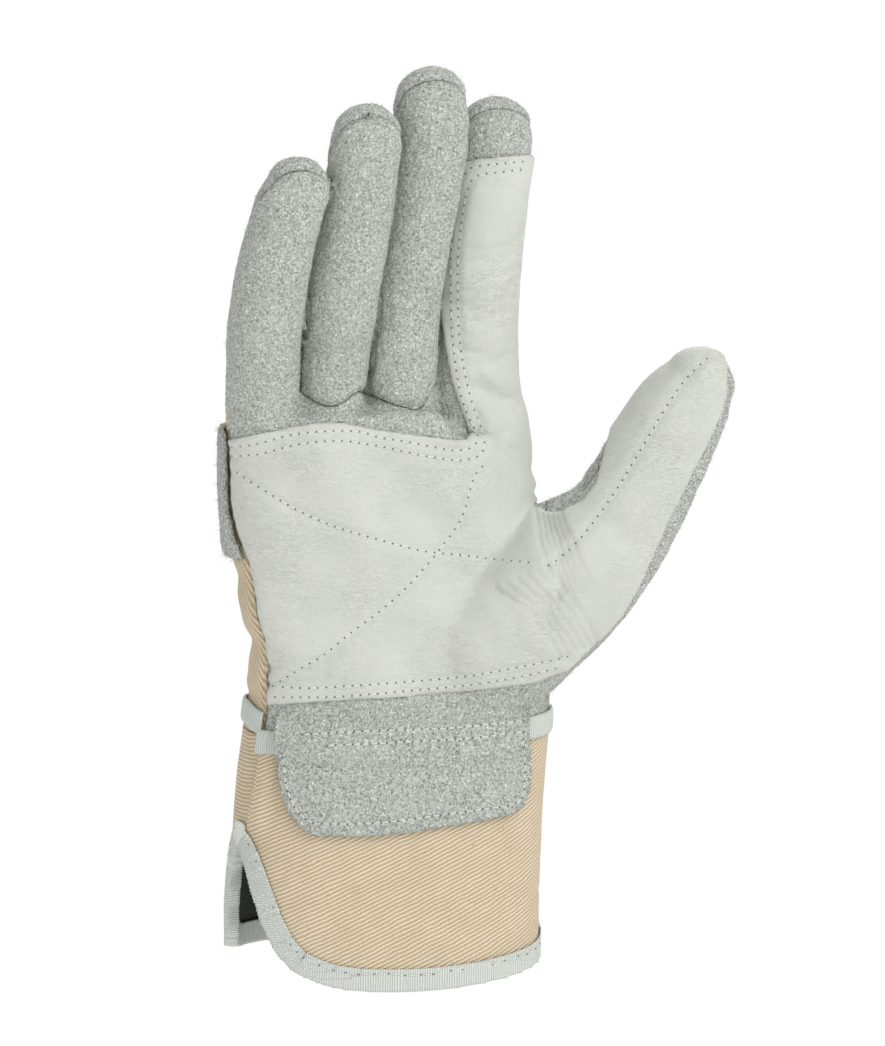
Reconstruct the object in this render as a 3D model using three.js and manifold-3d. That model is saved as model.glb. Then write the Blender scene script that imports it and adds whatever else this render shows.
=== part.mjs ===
// A right-hand rigger glove with a safety cuff, holding the shape that a relaxed hand gives it.
// Units are millimetres. +Z runs up the hand to the fingertips, the palm faces -Y and the thumb is at +X.
// The origin is the middle of the wrist, where the hand is sewn to the cuff.

import * as THREE from "three";
import { mergeVertices } from "three/addons/utils/BufferGeometryUtils.js";
import { LoftGeometry } from "three/addons/geometries/LoftGeometry.js";
import Module from "manifold-3d";

const wasm = await Module();
wasm.setup();

// Driving sizes of the hand and the cuff

const palmLength = 96;
const palmWidth = 92;
const palmDepth = 40;
const cuffLength = 75.4;
const fingertipDome = 8.5;
const crotchFall = 0.1;
const crownInset = 0.75;
const crownRise = 1;
const thumbReach = 104;
const thumbWidth = 31;
const thumbDepth = 24;

// Thickness of the layers, and the clearance between two pieces

const suede = 1.4;
const grainLeather = 1.2;
const drill = 1.2;
const liningCloth = 1.0;
const tapeCloth = 0.9;
const clearance = 0.3;

// Trim

const patchSetBack = 1.2;
const capLength = 24;
const strapBottom = 52;
const strapTop = 90;
const strapEnd = 0.36;
const tapeWidth = 7;
const bindingWidth = 7;
const pulseLength = 33;
const pulseRise = 4;
const pulseCorner = 9;
const tapeFlat = 5;
const tapeEase = 1;
const gatherDepth = 1.3;
const gatherCount = 6;

// Facets. The body's fall on the ridges and hollows of the gathers.

const bodySides = 4 * gatherCount;
const fingerSides = 12;
const insideSides = 8;
const roomSteps = 14;
const fingerStations = 5;
const thumbStations = 7;
const bodyRound = 2.7;
const fingerRound = 2.2;

// Reach of the cutting zones: past the glove, behind it, and in shares of the sizes that they follow
const far = 90;
const behind = 30;
const indexSideReach = 0.62;
const thumbSideReach = 1.1;
const roomReach = 0.65;
const roomTop = 1.05;

// Where a finger's side seam lies and passes over the tip, in shares of its half thickness and its length
const seamBehind = 0.3;
const seamOverTip = 1.9;
const seamTurn = 0.88;
const seamBlend = 0.2;

// Turns rows of numbers into rows with named columns.
function table(columns, rows) {
  const names = columns.split(" ");
  return rows.map((row) => Object.fromEntries(names.map((name, i) => [name, row[i]])));
}

// Reads a table at any height: a smooth curve through the rows, held level past both ends.
function sample(rows, up) {
  const last = rows.length - 1;
  const t = THREE.MathUtils.clamp(up, rows[0].up, rows[last].up);
  let i = 0;
  while (i < last - 1 && t > rows[i + 1].up) i += 1;
  const span = rows[i + 1].up - rows[i].up;
  const s = (t - rows[i].up) / span;
  const slope = (k, name) => {
    const a = rows[Math.max(k - 1, 0)];
    const b = rows[Math.min(k + 1, last)];
    return (b[name] - a[name]) / (b.up - a.up);
  };
  const result = {};
  for (const name of Object.keys(rows[0])) {
    const p = rows[i][name];
    const q = rows[i + 1][name];
    const h = s * s * (3 - 2 * s);
    const start = s * (1 - s) * (1 - s) * span * slope(i, name);
    const end = s * s * (1 - s) * span * slope(i + 1, name);
    result[name] = p + (q - p) * h + start - end;
  }
  return result;
}

// Palm sections. up is a share of the palm's length, left and right of its width, the rest of its depth.
// tilt is how far the thumb side lies behind the little-finger side, cup how deep the palm is hollowed.
const palmRows = table("up left right front back tilt cup gather", [
  [0.0, -0.486, 0.489, 0.55, 0.575, 0.0, 0.0, 0.0],
  [0.1, -0.474, 0.489, 0.53, 0.52, 0.0, 0.0, 0.35],
  [0.24, -0.467, 0.5, 0.51, 0.47, 0.02, 0.02, 1.0],
  [0.4, -0.503, 0.5, 0.5, 0.46, 0.06, 0.07, 0.6],
  [0.58, -0.535, 0.47, 0.5, 0.42, 0.13, 0.09, 0.0],
  [0.77, -0.552, 0.437, 0.5, 0.34, 0.22, 0.06, 0.0],
  [0.92, -0.556, 0.418, 0.5, 0.24, 0.28, 0.02, 0.0],
  [0.985, -0.545, 0.41, 0.46, 0.17, 0.3, 0.0, 0.0],
]);

// Cuff sections in the same shares. up is a share of the cuff's length.
const cuffRows = table("up left right front back tilt cup gather", [
  [-1.0, -0.545, 0.45, 0.63, 0.64, 0.0, 0.0, 0.0],
  [-0.65, -0.535, 0.457, 0.61, 0.63, 0.0, 0.0, 0.0],
  [-0.35, -0.518, 0.468, 0.59, 0.61, 0.0, 0.0, 0.0],
  [-0.12, -0.5, 0.482, 0.56, 0.59, 0.0, 0.0, 0.0],
]);

const bodyRows = [
  ...cuffRows.map((row) => ({ ...row, up: row.up * cuffLength })),
  ...palmRows.map((row) => ({ ...row, up: row.up * palmLength })),
];

// Heights of the palm's sections and of its side seam's, in shares of its length.
const palmStops = [0.1, 0.2, 0.32, 0.46, 0.6, 0.74, 0.86];
const palmSeamStops = [-0.1, 0.1, 0.27, 0.45, 0.6, 0.7, 0.8, 0.92, 1.0];

// Stations of a finger's side seam, in shares of its length.
const fingerSeamStops = [-0.05, 0.0, 0.08, 0.2, 0.5, 0.8, 0.89, 0.93, 0.97, 1.0, 1.15];

// Each finger's root in shares of the palm's width and depth, and its rows in shares of its own sizes.
// side runs to the thumb and fore to the palm's front, both as shares of the finger's length.
const fingers = {
  little: {
    length: 76,
    width: 21.4,
    depth: 20,
    root: { side: -0.455, fore: 0.29 },
    rows: table("up side fore wide thick", [
      [-0.3, 0.04, -0.08, 0.92, 1.05],
      [0.0, 0.0, 0.0, 0.97, 1.05],
      [0.25, -0.012, 0.085, 1.0, 1.02],
      [0.45, -0.004, 0.145, 1.0, 1.0],
      [0.66, 0.024, 0.2, 0.97, 0.97],
      [0.82, 0.062, 0.245, 0.92, 0.93],
      [0.895, 0.09, 0.265, 0.86, 0.87],
    ]),
  },
  ring: {
    length: 91,
    width: 20.8,
    depth: 20,
    root: { side: -0.232, fore: 0.2 },
    rows: table("up side fore wide thick", [
      [-0.25, 0.02, -0.05, 0.92, 1.05],
      [0.0, 0.0, 0.0, 0.94, 1.05],
      [0.19, 0.006, 0.05, 0.98, 1.0],
      [0.36, 0.02, 0.112, 1.0, 1.0],
      [0.53, 0.042, 0.152, 1.0, 1.0],
      [0.7, 0.062, 0.182, 1.0, 0.98],
      [0.86, 0.075, 0.212, 0.97, 0.93],
      [0.905, 0.08, 0.218, 0.93, 0.88],
    ]),
  },
  middle: {
    length: 100,
    width: 20.8,
    depth: 20,
    root: { side: -0.002, fore: 0.14 },
    rows: table("up side fore wide thick", [
      [-0.22, 0.0, -0.03, 0.95, 1.05],
      [0.0, 0.0, 0.0, 0.97, 1.05],
      [0.3, 0.013, 0.034, 0.97, 1.0],
      [0.46, 0.031, 0.064, 0.98, 1.0],
      [0.61, 0.052, 0.094, 1.0, 1.0],
      [0.77, 0.069, 0.124, 1.03, 0.98],
      [0.88, 0.066, 0.14, 1.02, 0.94],
      [0.915, 0.065, 0.144, 0.97, 0.9],
    ]),
  },
  index: {
    length: 89,
    width: 21.4,
    depth: 20,
    root: { side: 0.246, fore: -0.01 },
    rows: table("up side fore wide thick", [
      [-0.25, 0.055, 0.0, 1.16, 1.05],
      [-0.11, 0.03, 0.0, 1.2, 1.05],
      [0.0, 0.0, 0.0, 1.24, 1.05],
      [0.14, -0.003, 0.012, 1.16, 1.02],
      [0.33, 0.008, 0.036, 1.02, 1.0],
      [0.66, 0.034, 0.07, 1.0, 0.98],
      [0.83, 0.057, 0.08, 1.0, 0.93],
      [0.905, 0.062, 0.086, 0.94, 0.87],
    ]),
  },
};

// The thumb's root in shares of the palm's sizes, and its rows in shares of the thumb's reach and width.
const thumb = {
  length: thumbReach,
  width: thumbWidth,
  depth: thumbDepth,
  root: { up: 0.083, side: 0.217, fore: 0.15 },
  rows: table("up side fore wide thick", [
    [0.0, -0.02, 0.0, 1.15, 1.2],
    [0.17, 0.11, 0.03, 1.32, 1.42],
    [0.32, 0.262, 0.067, 1.3, 1.3],
    [0.45, 0.385, 0.087, 1.12, 1.13],
    [0.59, 0.468, 0.106, 1.02, 1.04],
    [0.74, 0.54, 0.13, 0.97, 0.98],
    [0.85, 0.592, 0.149, 0.88, 0.9],
    [0.905, 0.62, 0.165, 0.78, 0.8],
  ]),
};

// The depth of the seam between palm side and back, at the left and right edges, in shares of the depth.
const seamRows = table("up left right", [
  [-0.1, -0.27, -0.12],
  [0.3, -0.26, -0.12],
  [0.6, -0.22, -0.06],
  [0.8, -0.22, 0.0],
  [1.0, -0.24, 0.06],
]);

// The line where the thumb's back meets the back of the hand, and the depth of the thumb's seam
// on its crotch side and on its outer side.
const thumbSeamRows = table("up side inner outer", [
  [-0.1, 0.4, 0.18, 0.18],
  [0.1, 0.4, 0.22, 0.26],
  [0.27, 0.41, 0.3, 0.42],
  [0.45, 0.415, 0.38, 0.52],
  [0.6, 0.435, 0.42, 0.58],
  [0.7, 0.47, 0.46, 0.6],
  [0.8, 0.54, 0.5, 0.62],
  [0.92, 0.6, 0.46, 0.7],
  [1.03, 0.64, 0.47, 0.74],
  [1.1, 0.65, 0.49, 0.76],
  [1.2, 0.66, 0.5, 0.78],
]);

// Outline of the white patch seen from the front, in shares of the palm's length and width.
const patchOutline = table("side up", [
  [-0.7, 0.93],
  [-0.455, 0.945],
  [-0.29, 0.965],
  [-0.2, 0.963],
  [-0.115, 0.945],
  [0.03, 0.92],
  [0.14, 0.905],
  [0.178, 0.925],
  [0.168, 0.97],
  [0.145, 1.1],
  [0.125, 1.28],
  [0.122, 1.48],
  [0.142, 1.63],
  [0.165, 1.74],
  [0.55, 1.75],
  [0.55, 1.1],
  [0.62, 0.85],
  [0.75, 1.25],
  [1.2, 1.25],
  [1.2, 0.3],
  [0.64, 0.26],
  [0.53, 0.19],
  [0.4, 0.15],
  [0.23, 0.132],
  [-0.02, 0.117],
  [-0.27, 0.113],
  [-0.7, 0.095],
]);

// Turns a closed surface into a solid that can be joined and cut.
function solid(geometry) {
  const bare = new THREE.BufferGeometry().copy(geometry);
  bare.deleteAttribute("normal");
  bare.deleteAttribute("uv");
  const merged = mergeVertices(bare, 1e-4);
  const vertProperties = new Float32Array(merged.attributes.position.array);
  const triVerts = new Uint32Array(merged.index.array);
  return new wasm.Manifold(new wasm.Mesh({ numProp: 3, vertProperties, triVerts }));
}

// A solid through sections, closed by a flat cap at each end.
function loft(sections) {
  return solid(new LoftGeometry(sections, { capStart: true, capEnd: true }));
}

// A hollow sleeve from rings listed downwards: up the outside, over the edge and back down the inside.
function sleeve(outer, inner) {
  const rings = [...outer.slice().reverse(), ...inner, outer.at(-1)];
  return solid(new LoftGeometry(rings));
}

// A plate with an outline seen from the front, between two depths.
function frontPlate(points, fromDepth, toDepth) {
  const clockwise = THREE.ShapeUtils.isClockWise(points.map((p) => new THREE.Vector2(p.x, p.z)));
  const loop = clockwise ? points.slice().reverse() : points;
  const at = (y) => loop.map((p) => new THREE.Vector3(p.x, y, p.z));
  return loft([at(toDepth), at(fromDepth)]);
}

function join(solids) {
  return solids.reduce((whole, next) => whole.add(next));
}

function roundShare(value, roundness) {
  return Math.sign(value) * Math.abs(value) ** (2 / roundness);
}

// One point of the body's section at a height, pushed out of the surface by an offset.
function bodyPoint(angle, up, offset) {
  const row = sample(bodyRows, up);
  const left = row.left * palmWidth - offset;
  const right = row.right * palmWidth + offset;
  const across = roundShare(Math.cos(angle), bodyRound);
  const through = roundShare(Math.sin(angle), bodyRound);
  const x = (left + right) / 2 + (across * (right - left)) / 2;
  const depth = through < 0 ? row.front * palmDepth : row.back * palmDepth;
  const hollow = through < 0 ? row.cup * palmDepth * Math.max(1 - across * across, 0) : 0;
  const ripple = through > 0 ? row.gather * gatherDepth * Math.cos(2 * gatherCount * angle) * through : 0;
  const y = through * (depth + offset + ripple) + hollow + (row.tilt * palmDepth * x) / palmWidth;
  return new THREE.Vector3(x, y, up);
}

// Equal angles round a whole turn.
function angles(count) {
  return Array.from({ length: count }, (_, i) => (2 * Math.PI * i) / count);
}

// The palm from the wrist to the roots of the fingers. Its top falls away to the index finger's deeper crotch.
function palmForm(offset, bottom) {
  const top = palmRows.at(-1).up * palmLength + offset;
  const heights = [bottom, ...palmStops.map((share) => share * palmLength), top];
  const fallen = (up, x) => up * (1 - crotchFall * THREE.MathUtils.smoothstep(x / palmWidth, 0.09, 0.17));
  const rings = heights.map((up) =>
    angles(bodySides).map((angle) => bodyPoint(angle, fallen(up, bodyPoint(angle, up, 0).x), offset)),
  );
  const rim = rings.at(-1);
  const middle = rim.reduce((sum, point) => sum.add(point), new THREE.Vector3()).divideScalar(rim.length);
  const crown = rim.map((point) => {
    const inner = point.clone().lerp(middle, crownInset);
    return inner.setZ(fallen(top, inner.x) + crownRise);
  });
  return loft([...rings, crown]);
}

// The middle line and the half sizes of a finger or thumb.
function spine(finger) {
  const rootUp = finger.root.up === undefined ? palmLength : finger.root.up * palmLength;
  return (up) => {
    const row = sample(finger.rows, up);
    const centre = new THREE.Vector3(
      finger.root.side * palmWidth + row.side * finger.length,
      -finger.root.fore * palmDepth - row.fore * finger.length,
      rootUp + THREE.MathUtils.clamp(up, finger.rows[0].up, finger.rows.at(-1).up) * finger.length,
    );
    return { centre, wide: (row.wide * finger.width) / 2, thick: (row.thick * finger.depth) / 2 };
  };
}

// A finger or thumb: oval sections square to its middle line, with a domed tip.
function fingerForm(finger, offset, stations, sides) {
  const at = spine(finger);
  const start = finger.rows[0].up;
  const end = finger.rows.at(-1).up;
  const step = (end - start) / stations;
  const ring = (station, slide, share) => {
    const { centre, wide, thick } = at(station);
    const before = at(Math.max(station - step / 2, start)).centre;
    const after = at(Math.min(station + step / 2, end)).centre;
    const along = after.sub(before).normalize();
    const across = new THREE.Vector3(1, 0, 0).addScaledVector(along, -along.x).normalize();
    const back = new THREE.Vector3().crossVectors(along, across);
    return angles(sides).map((angle) =>
      centre
        .clone()
        .addScaledVector(along, slide)
        .addScaledVector(across, roundShare(Math.cos(angle), fingerRound) * (wide + offset) * share)
        .addScaledVector(back, roundShare(Math.sin(angle), fingerRound) * (thick + offset) * share),
    );
  };
  const rings = [];
  for (let i = 0; i <= stations; i += 1) rings.push(ring(start + i * step, 0, 1));
  for (const turn of [30, 55, 78]) {
    const tilt = THREE.MathUtils.degToRad(turn);
    rings.push(ring(end, Math.sin(tilt) * (fingertipDome + offset), Math.cos(tilt)));
  }
  return loft(rings);
}

// The whole hand at an offset from the glove's outer face.
function handForm(offset, bottom, sides = fingerSides) {
  const parts = [palmForm(offset, bottom), fingerForm(thumb, offset, thumbStations, sides)];
  for (const finger of Object.values(fingers)) parts.push(fingerForm(finger, offset, fingerStations, sides));
  return join(parts);
}

// The line that parts two neighbouring fingers at a height, square to the line between their middles.
function border(leftName, rightName, height) {
  if (!leftName) return () => -far;
  if (!rightName) return () => indexSideReach * palmWidth;
  const at = (name) => spine(fingers[name])((height - palmLength) / fingers[name].length);
  const a = at(leftName);
  const b = at(rightName);
  const between = a.centre.clone().lerp(b.centre, a.wide / (a.wide + b.wide));
  const lean = (b.centre.y - a.centre.y) / (b.centre.x - a.centre.x);
  return (depth) => between.x - (depth - between.y) * lean;
}

function seamDepth(x, height) {
  const row = sample(seamRows, height / palmLength);
  const share = x / palmWidth + 0.5;
  return (row.left + (row.right - row.left) * share) * palmDepth;
}

// A section of a cutting zone: everything behind a line of depths, between a left and a right border.
function zoneSection(left, right, depthAt, height, backDepth = behind) {
  const corner = (side, depth) => new THREE.Vector3(side(depth), depth, height);
  const near = (side) => corner(side, depthAt(side(0)));
  return [near(left), near(right), corner(right, backDepth), corner(left, backDepth)];
}

// What lies behind the side seams of the palm.
function palmBackZone() {
  return loft(
    palmSeamStops.map((share) => {
      const height = share * palmLength;
      const right = sample(thumbSeamRows, share).side * palmWidth;
      return zoneSection(() => -far, () => right, (x) => seamDepth(x, height), height);
    }),
  );
}

// What lies behind the thumb's seam.
function thumbBackZone() {
  return loft(
    thumbSeamRows.map((row) => {
      const left = row.side * palmWidth;
      const right = thumbSideReach * palmWidth;
      const slope = (row.outer - row.inner) / (right - left);
      const depth = (x) => -palmDepth * (row.inner + slope * (x - left));
      return zoneSection(() => left, () => right, depth, row.up * palmLength);
    }),
  );
}

// The borders of a finger at a height, towards the neighbours that it has.
function bordersOf(name, height) {
  const names = [undefined, ...Object.keys(fingers), undefined];
  const place = names.indexOf(name);
  return [border(names[place - 1], name, height), border(name, names[place + 1], height)];
}

// What lies behind a finger's seam, which passes over the front just short of the tip.
function fingerBackZone(name) {
  const finger = fingers[name];
  const at = spine(finger);
  return loft(
    fingerSeamStops.map((up) => {
      const height = palmLength + up * finger.length;
      const { centre, thick } = at(up);
      const [left, right] = bordersOf(name, height);
      const blend = THREE.MathUtils.smoothstep(up, 0, seamBlend);
      const overTip = THREE.MathUtils.smoothstep(up, seamTurn, 1) * seamOverTip;
      const own = centre.y + (seamBehind - overTip) * thick;
      const depth = (x) => THREE.MathUtils.lerp(seamDepth(x, palmLength), own, blend);
      return zoneSection(left, right, depth, height);
    }),
  );
}

// The room round one finger, above the root seam.
function fingerRoom(name) {
  const finger = fingers[name];
  const reach = roomReach * finger.depth;
  return loft(
    Array.from({ length: roomSteps + 1 }, (_, i) => {
      const up = (roomTop * i) / roomSteps;
      const height = palmLength + up * finger.length;
      const [left, right] = bordersOf(name, height);
      const middle = spine(finger)(up).centre.y;
      return zoneSection(left, right, () => middle - reach, height, middle + reach);
    }),
  );
}

// Wall of the hand, and the zones that part it into leather and cloth
const handWall = handForm(0, clearance / 2).subtract(handForm(-suede, -10, insideSides));
const clothFingers = ["little", "ring", "middle"];
const palmBack = palmBackZone();
const thumbBack = thumbBackZone();
const fingerBacks = Object.fromEntries(Object.keys(fingers).map((name) => [name, fingerBackZone(name)]));
const backZones = join([palmBack, thumbBack, ...Object.values(fingerBacks)]);
const fronts = handWall.subtract(backZones);
const ringRoom = fingerRoom("ring");
const middleRoom = fingerRoom("middle");
const lift = [0, 0, clearance];
const back = [0, clearance, 0];

const above = (shape, height) => shape.trimByPlane([0, 0, 1], height);
const below = (shape, height) => shape.trimByPlane([0, 0, -1], -height);
const capHeight = (name) => palmLength + fingers[name].length - capLength;

function fingerCap(name) {
  return above(handWall.intersect(fingerBacks[name].translate(back)), capHeight(name) + clearance);
}

function backPanel() {
  const backs = clothFingers.map((name) => below(fingerBacks[name], capHeight(name)));
  return handWall.intersect(join([palmBack, ...backs]).translate(back));
}

// A layer of leather that lies on the hand with a clearance beneath it.
function layerOnHand(thickness) {
  return handForm(clearance + thickness, -10).subtract(handForm(clearance, -20));
}

// The grain leather patch lies on the suede palm and stops short of the side seams.
function palmPatch() {
  const outline = patchOutline.map((p) => ({ x: p.side * palmWidth, z: p.up * palmLength }));
  const field = frontPlate(outline, -far, far);
  return layerOnHand(grainLeather).intersect(field).subtract(backZones.translate([0, -patchSetBack, 0]));
}

// The knuckle strap lies behind the patch, from the little finger's edge across the back of the hand.
function knuckleStrap() {
  const right = strapEnd * palmWidth;
  const outline = [
    { x: -far, z: strapBottom },
    { x: right, z: strapBottom },
    { x: right, z: strapTop },
    { x: -far, z: strapTop },
  ];
  const field = frontPlate(outline, -far, far);
  const behindPatch = palmBack.translate([0, clearance - patchSetBack, 0]);
  return layerOnHand(suede).intersect(field).intersect(behindPatch);
}

// Angles of an arc that meet the body's own facets.
function arc(from, to) {
  const step = (2 * Math.PI) / bodySides;
  return [from, ...angles(bodySides).filter((angle) => angle > from + step / 4 && angle < to - step / 4), to];
}

// A strip of tape round part of the body, bent at the wrist, as high as its middle line says at each angle.
function wristTape(from, to, middle) {
  const sections = arc(from, to).map((angle) => {
    const low = middle(angle) - tapeWidth / 2;
    const high = low + tapeWidth;
    const heights = [low, THREE.MathUtils.clamp(0, low + tapeEase, high - tapeEase), high];
    const face = (offset) => heights.map((up) => bodyPoint(angle, up, offset));
    return [...face(clearance), ...face(clearance + tapeCloth).reverse()];
  });
  return loft(sections);
}

// The hem hangs lower in front than at the sides.
function hemHeight(angle) {
  const front = Math.max(-Math.sin(angle), 0);
  return -cuffLength * (0.895 + 0.105 * front ** 0.6);
}

// A sleeve round the cuff between two offsets, through heights that may vary with the angle.
function cuffSleeve(outerOffset, innerOffset, heights) {
  const rings = (offset) =>
    heights.map((height) => angles(bodySides).map((angle) => bodyPoint(angle, height(angle), offset)));
  return sleeve(rings(outerOffset), rings(innerOffset));
}

// The front edge of the slit seen from the front, rounding into the hem, in shares of the palm's width
// and the cuff's length, and its back edge seen from the side, in shares of the palm's depth.
const slitFrontEdge = table("side up", [
  [-0.53, -0.355],
  [-0.515, -0.48],
  [-0.495, -0.6],
  [-0.47, -0.72],
  [-0.437, -0.82],
  [-0.4, -0.91],
  [-0.345, -0.97],
  [-0.29, -1.0],
  [-0.2, -1.04],
]);
const slitBackEdge = table("through up", [
  [-0.4, -0.35],
  [-0.16, -0.43],
  [0.0, -0.55],
  [0.05, -0.7],
  [0.07, -1.2],
]);

// Moves an open line of points sideways, to the right of its run where the distance is positive.
function shifted(points, distance) {
  return points.map((point, i) => {
    const a = points[Math.max(i - 1, 0)];
    const b = points[Math.min(i + 1, points.length - 1)];
    const run = Math.hypot(b.x - a.x, b.z - a.z);
    return { x: point.x - ((b.z - a.z) / run) * distance, z: point.z + ((b.x - a.x) / run) * distance };
  });
}

// The gap of the slit through the little-finger side of the cuff, made wider or narrower by a growth.
function slitGap(growth) {
  const frontLine = slitFrontEdge.map((p) => ({ x: p.side * palmWidth, z: p.up * cuffLength }));
  const backLine = slitBackEdge.map((p) => ({ x: p.through * palmDepth, z: p.up * cuffLength }));
  const top = backLine[0].z + growth;
  const floor = -2 * cuffLength;
  const beside = (line, outerX) => {
    const [first, ...rest] = shifted(line, growth);
    const open = rest.filter((p) => p.z < top);
    const corners = [{ x: first.x, z: top }, ...open, { x: open.at(-1).x, z: floor }];
    return frontPlate([{ x: outerX, z: floor }, { x: outerX, z: top }, ...corners], -far, far);
  };
  return beside(frontLine, -far).subtract(beside(backLine, far).rotate([0, 0, 90]));
}

const cuffInside = drill + clearance + liningCloth;

// Heights down the cuff from a top to a rise above the hem.
function cuffHeights(top, rise) {
  const stops = cuffRows.map((row) => row.up * cuffLength).filter((up) => up > -0.8 * cuffLength && up < top - 1);
  return [() => top, ...stops.reverse().map((up) => () => up), (angle) => hemHeight(angle) + rise];
}

function cuffShell() {
  return cuffSleeve(0, -drill, cuffHeights(-clearance / 2, 0)).subtract(slitGap(0));
}

function cuffLining() {
  return cuffSleeve(-drill - clearance, -cuffInside, cuffHeights(-clearance / 2, 0)).subtract(slitGap(0));
}

// The tape is folded over the hem and over both edges of the slit.
function hemBinding() {
  const outer = clearance + tapeCloth;
  const inner = -cuffInside - outer;
  const band = cuffSleeve(outer, inner, cuffHeights(-0.2 * cuffLength, -outer));
  const above = cuffSleeve(outer + 2, inner - 2, cuffHeights(0, bindingWidth));
  const room = cuffSleeve(clearance, -cuffInside - clearance, cuffHeights(-clearance, -clearance));
  const folded = band.subtract(above.subtract(slitGap(bindingWidth))).subtract(slitGap(-outer));
  return folded.subtract(room.subtract(slitGap(-clearance)));
}

// The pulse patch covers the wrist tape and then lies down on the cuff.
function pulsePatch() {
  const top = 0.04 * palmLength;
  const low = top - pulseLength;
  const tapeFace = 2 * clearance + tapeCloth;
  const heights = [top, 0, -tapeFlat, -2 * tapeFlat, (low - 2 * tapeFlat) / 2, low];
  const lie = (up) => THREE.MathUtils.lerp(clearance, tapeFace, THREE.MathUtils.smoothstep(up, -2 * tapeFlat, -tapeFlat));
  const sections = arc(1.09 * Math.PI, 1.95 * Math.PI).map((angle) => {
    const face = (extra) => heights.map((up) => bodyPoint(angle, up, lie(up) + extra));
    return [...face(suede), ...face(0).reverse()];
  });
  const corner = (x, z, towards) =>
    [0, 30, 60, 90].map((turn) => {
      const swing = THREE.MathUtils.degToRad(turn);
      const raise = pulseCorner * (1 - Math.sin(swing));
      const inset = pulseCorner * (1 - Math.cos(swing));
      return { x: x + towards * inset, z: z + raise };
    });
  const leftEdge = -0.43 * palmWidth;
  const rightEdge = 0.385 * palmWidth;
  const outline = [
    { x: leftEdge, z: 2 * top },
    ...corner(leftEdge, low, 1),
    ...corner(rightEdge, low + pulseRise, -1).reverse(),
    { x: rightEdge, z: 2 * top },
  ];
  return loft(sections).intersect(frontPlate(outline, -far, far));
}

const colours = {
  suede: "#b5bab2",
  grain: "#dde0d8",
  drill: "#d3c2a8",
  tape: "#c4c9c2",
  lining: "#33372f",
};

// Adds one piece to the glove under its own name.
function addPiece(glove, name, shape, colour, roughness) {
  const mesh = shape.getMesh();
  const geometry = new THREE.BufferGeometry();
  geometry.setAttribute("position", new THREE.BufferAttribute(new Float32Array(mesh.vertProperties), 3));
  geometry.setIndex(new THREE.BufferAttribute(new Uint32Array(mesh.triVerts), 1));
  geometry.computeVertexNormals();
  const piece = new THREE.Mesh(geometry, new THREE.MeshStandardMaterial({ color: colour, roughness }));
  piece.name = name;
  glove.add(piece);
}

const glove = new THREE.Group();

addPiece(glove, "palm_split", fronts.subtract(join([ringRoom, middleRoom])), colours.suede, 0.95);
addPiece(glove, "ring_front", fronts.intersect(ringRoom.translate(lift)), colours.suede, 0.95);
addPiece(glove, "middle_front", fronts.intersect(middleRoom.translate(lift)), colours.suede, 0.95);
addPiece(glove, "palm_patch", palmPatch(), colours.grain, 0.6);
addPiece(glove, "back_panel", backPanel(), colours.drill, 0.9);
for (const name of clothFingers) addPiece(glove, `${name}_cap`, fingerCap(name), colours.suede, 0.95);
const indexBack = handWall.intersect(fingerBacks.index.translate(back));
addPiece(glove, "index_back", above(indexBack, palmLength + clearance), colours.suede, 0.95);
const thumbBackRoom = thumbBack.translate([clearance, clearance, 0]);
addPiece(glove, "thumb_back", handWall.intersect(thumbBackRoom), colours.suede, 0.95);
addPiece(glove, "knuckle_strap", knuckleStrap(), colours.suede, 0.95);
const frontTape = wristTape(1.03 * Math.PI, 1.97 * Math.PI, () => -0.015 * palmLength);
const backTape = wristTape(0.02 * Math.PI, 1.01 * Math.PI, (angle) => 0.035 * palmLength * Math.sin(angle / 2));
addPiece(glove, "wrist_tape_front", frontTape, colours.tape, 0.8);
addPiece(glove, "wrist_tape_back", backTape, colours.tape, 0.8);
addPiece(glove, "cuff_shell", cuffShell(), colours.drill, 0.9);
addPiece(glove, "cuff_lining", cuffLining(), colours.lining, 0.95);
addPiece(glove, "hem_binding", hemBinding(), colours.tape, 0.8);
addPiece(glove, "pulse_patch", pulsePatch(), colours.suede, 0.95);

export default glove;
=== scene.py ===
"""Dresses a right-hand rigger glove of split leather, grain leather, cotton drill and ribbed tape.

The hand is one smooth surface, built from the same sizes as the solids. It is cut into panels along its
seams, and each panel becomes a sheet of leather or cloth of its own. Sizes are in millimetres until a
mesh is made.
"""

from __future__ import annotations

import logging
import math
import random
from dataclasses import dataclass, field
from enum import Enum
from typing import Callable, Sequence

import bmesh
import bpy
import numpy as np
from mathutils import Matrix, Vector
from mathutils.bvhtree import BVHTree
from mathutils.kdtree import KDTree

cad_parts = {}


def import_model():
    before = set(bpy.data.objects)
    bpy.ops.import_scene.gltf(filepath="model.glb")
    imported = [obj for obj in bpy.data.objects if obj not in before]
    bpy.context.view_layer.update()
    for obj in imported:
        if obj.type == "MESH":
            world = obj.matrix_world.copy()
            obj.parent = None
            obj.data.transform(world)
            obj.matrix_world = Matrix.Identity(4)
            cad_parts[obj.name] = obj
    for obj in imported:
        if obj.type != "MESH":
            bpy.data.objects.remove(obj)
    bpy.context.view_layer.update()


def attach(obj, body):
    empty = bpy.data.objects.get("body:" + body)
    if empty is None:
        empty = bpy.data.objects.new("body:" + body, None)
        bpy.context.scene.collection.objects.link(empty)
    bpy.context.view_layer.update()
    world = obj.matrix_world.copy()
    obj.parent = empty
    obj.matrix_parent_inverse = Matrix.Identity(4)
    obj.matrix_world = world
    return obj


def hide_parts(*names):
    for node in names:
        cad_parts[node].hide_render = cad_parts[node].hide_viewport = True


# A millimetre in metres, the body that every piece rides on, and a far distance in millimetres.
MM = 0.001
ROOT = "root"
FAR = 200.0
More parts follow.
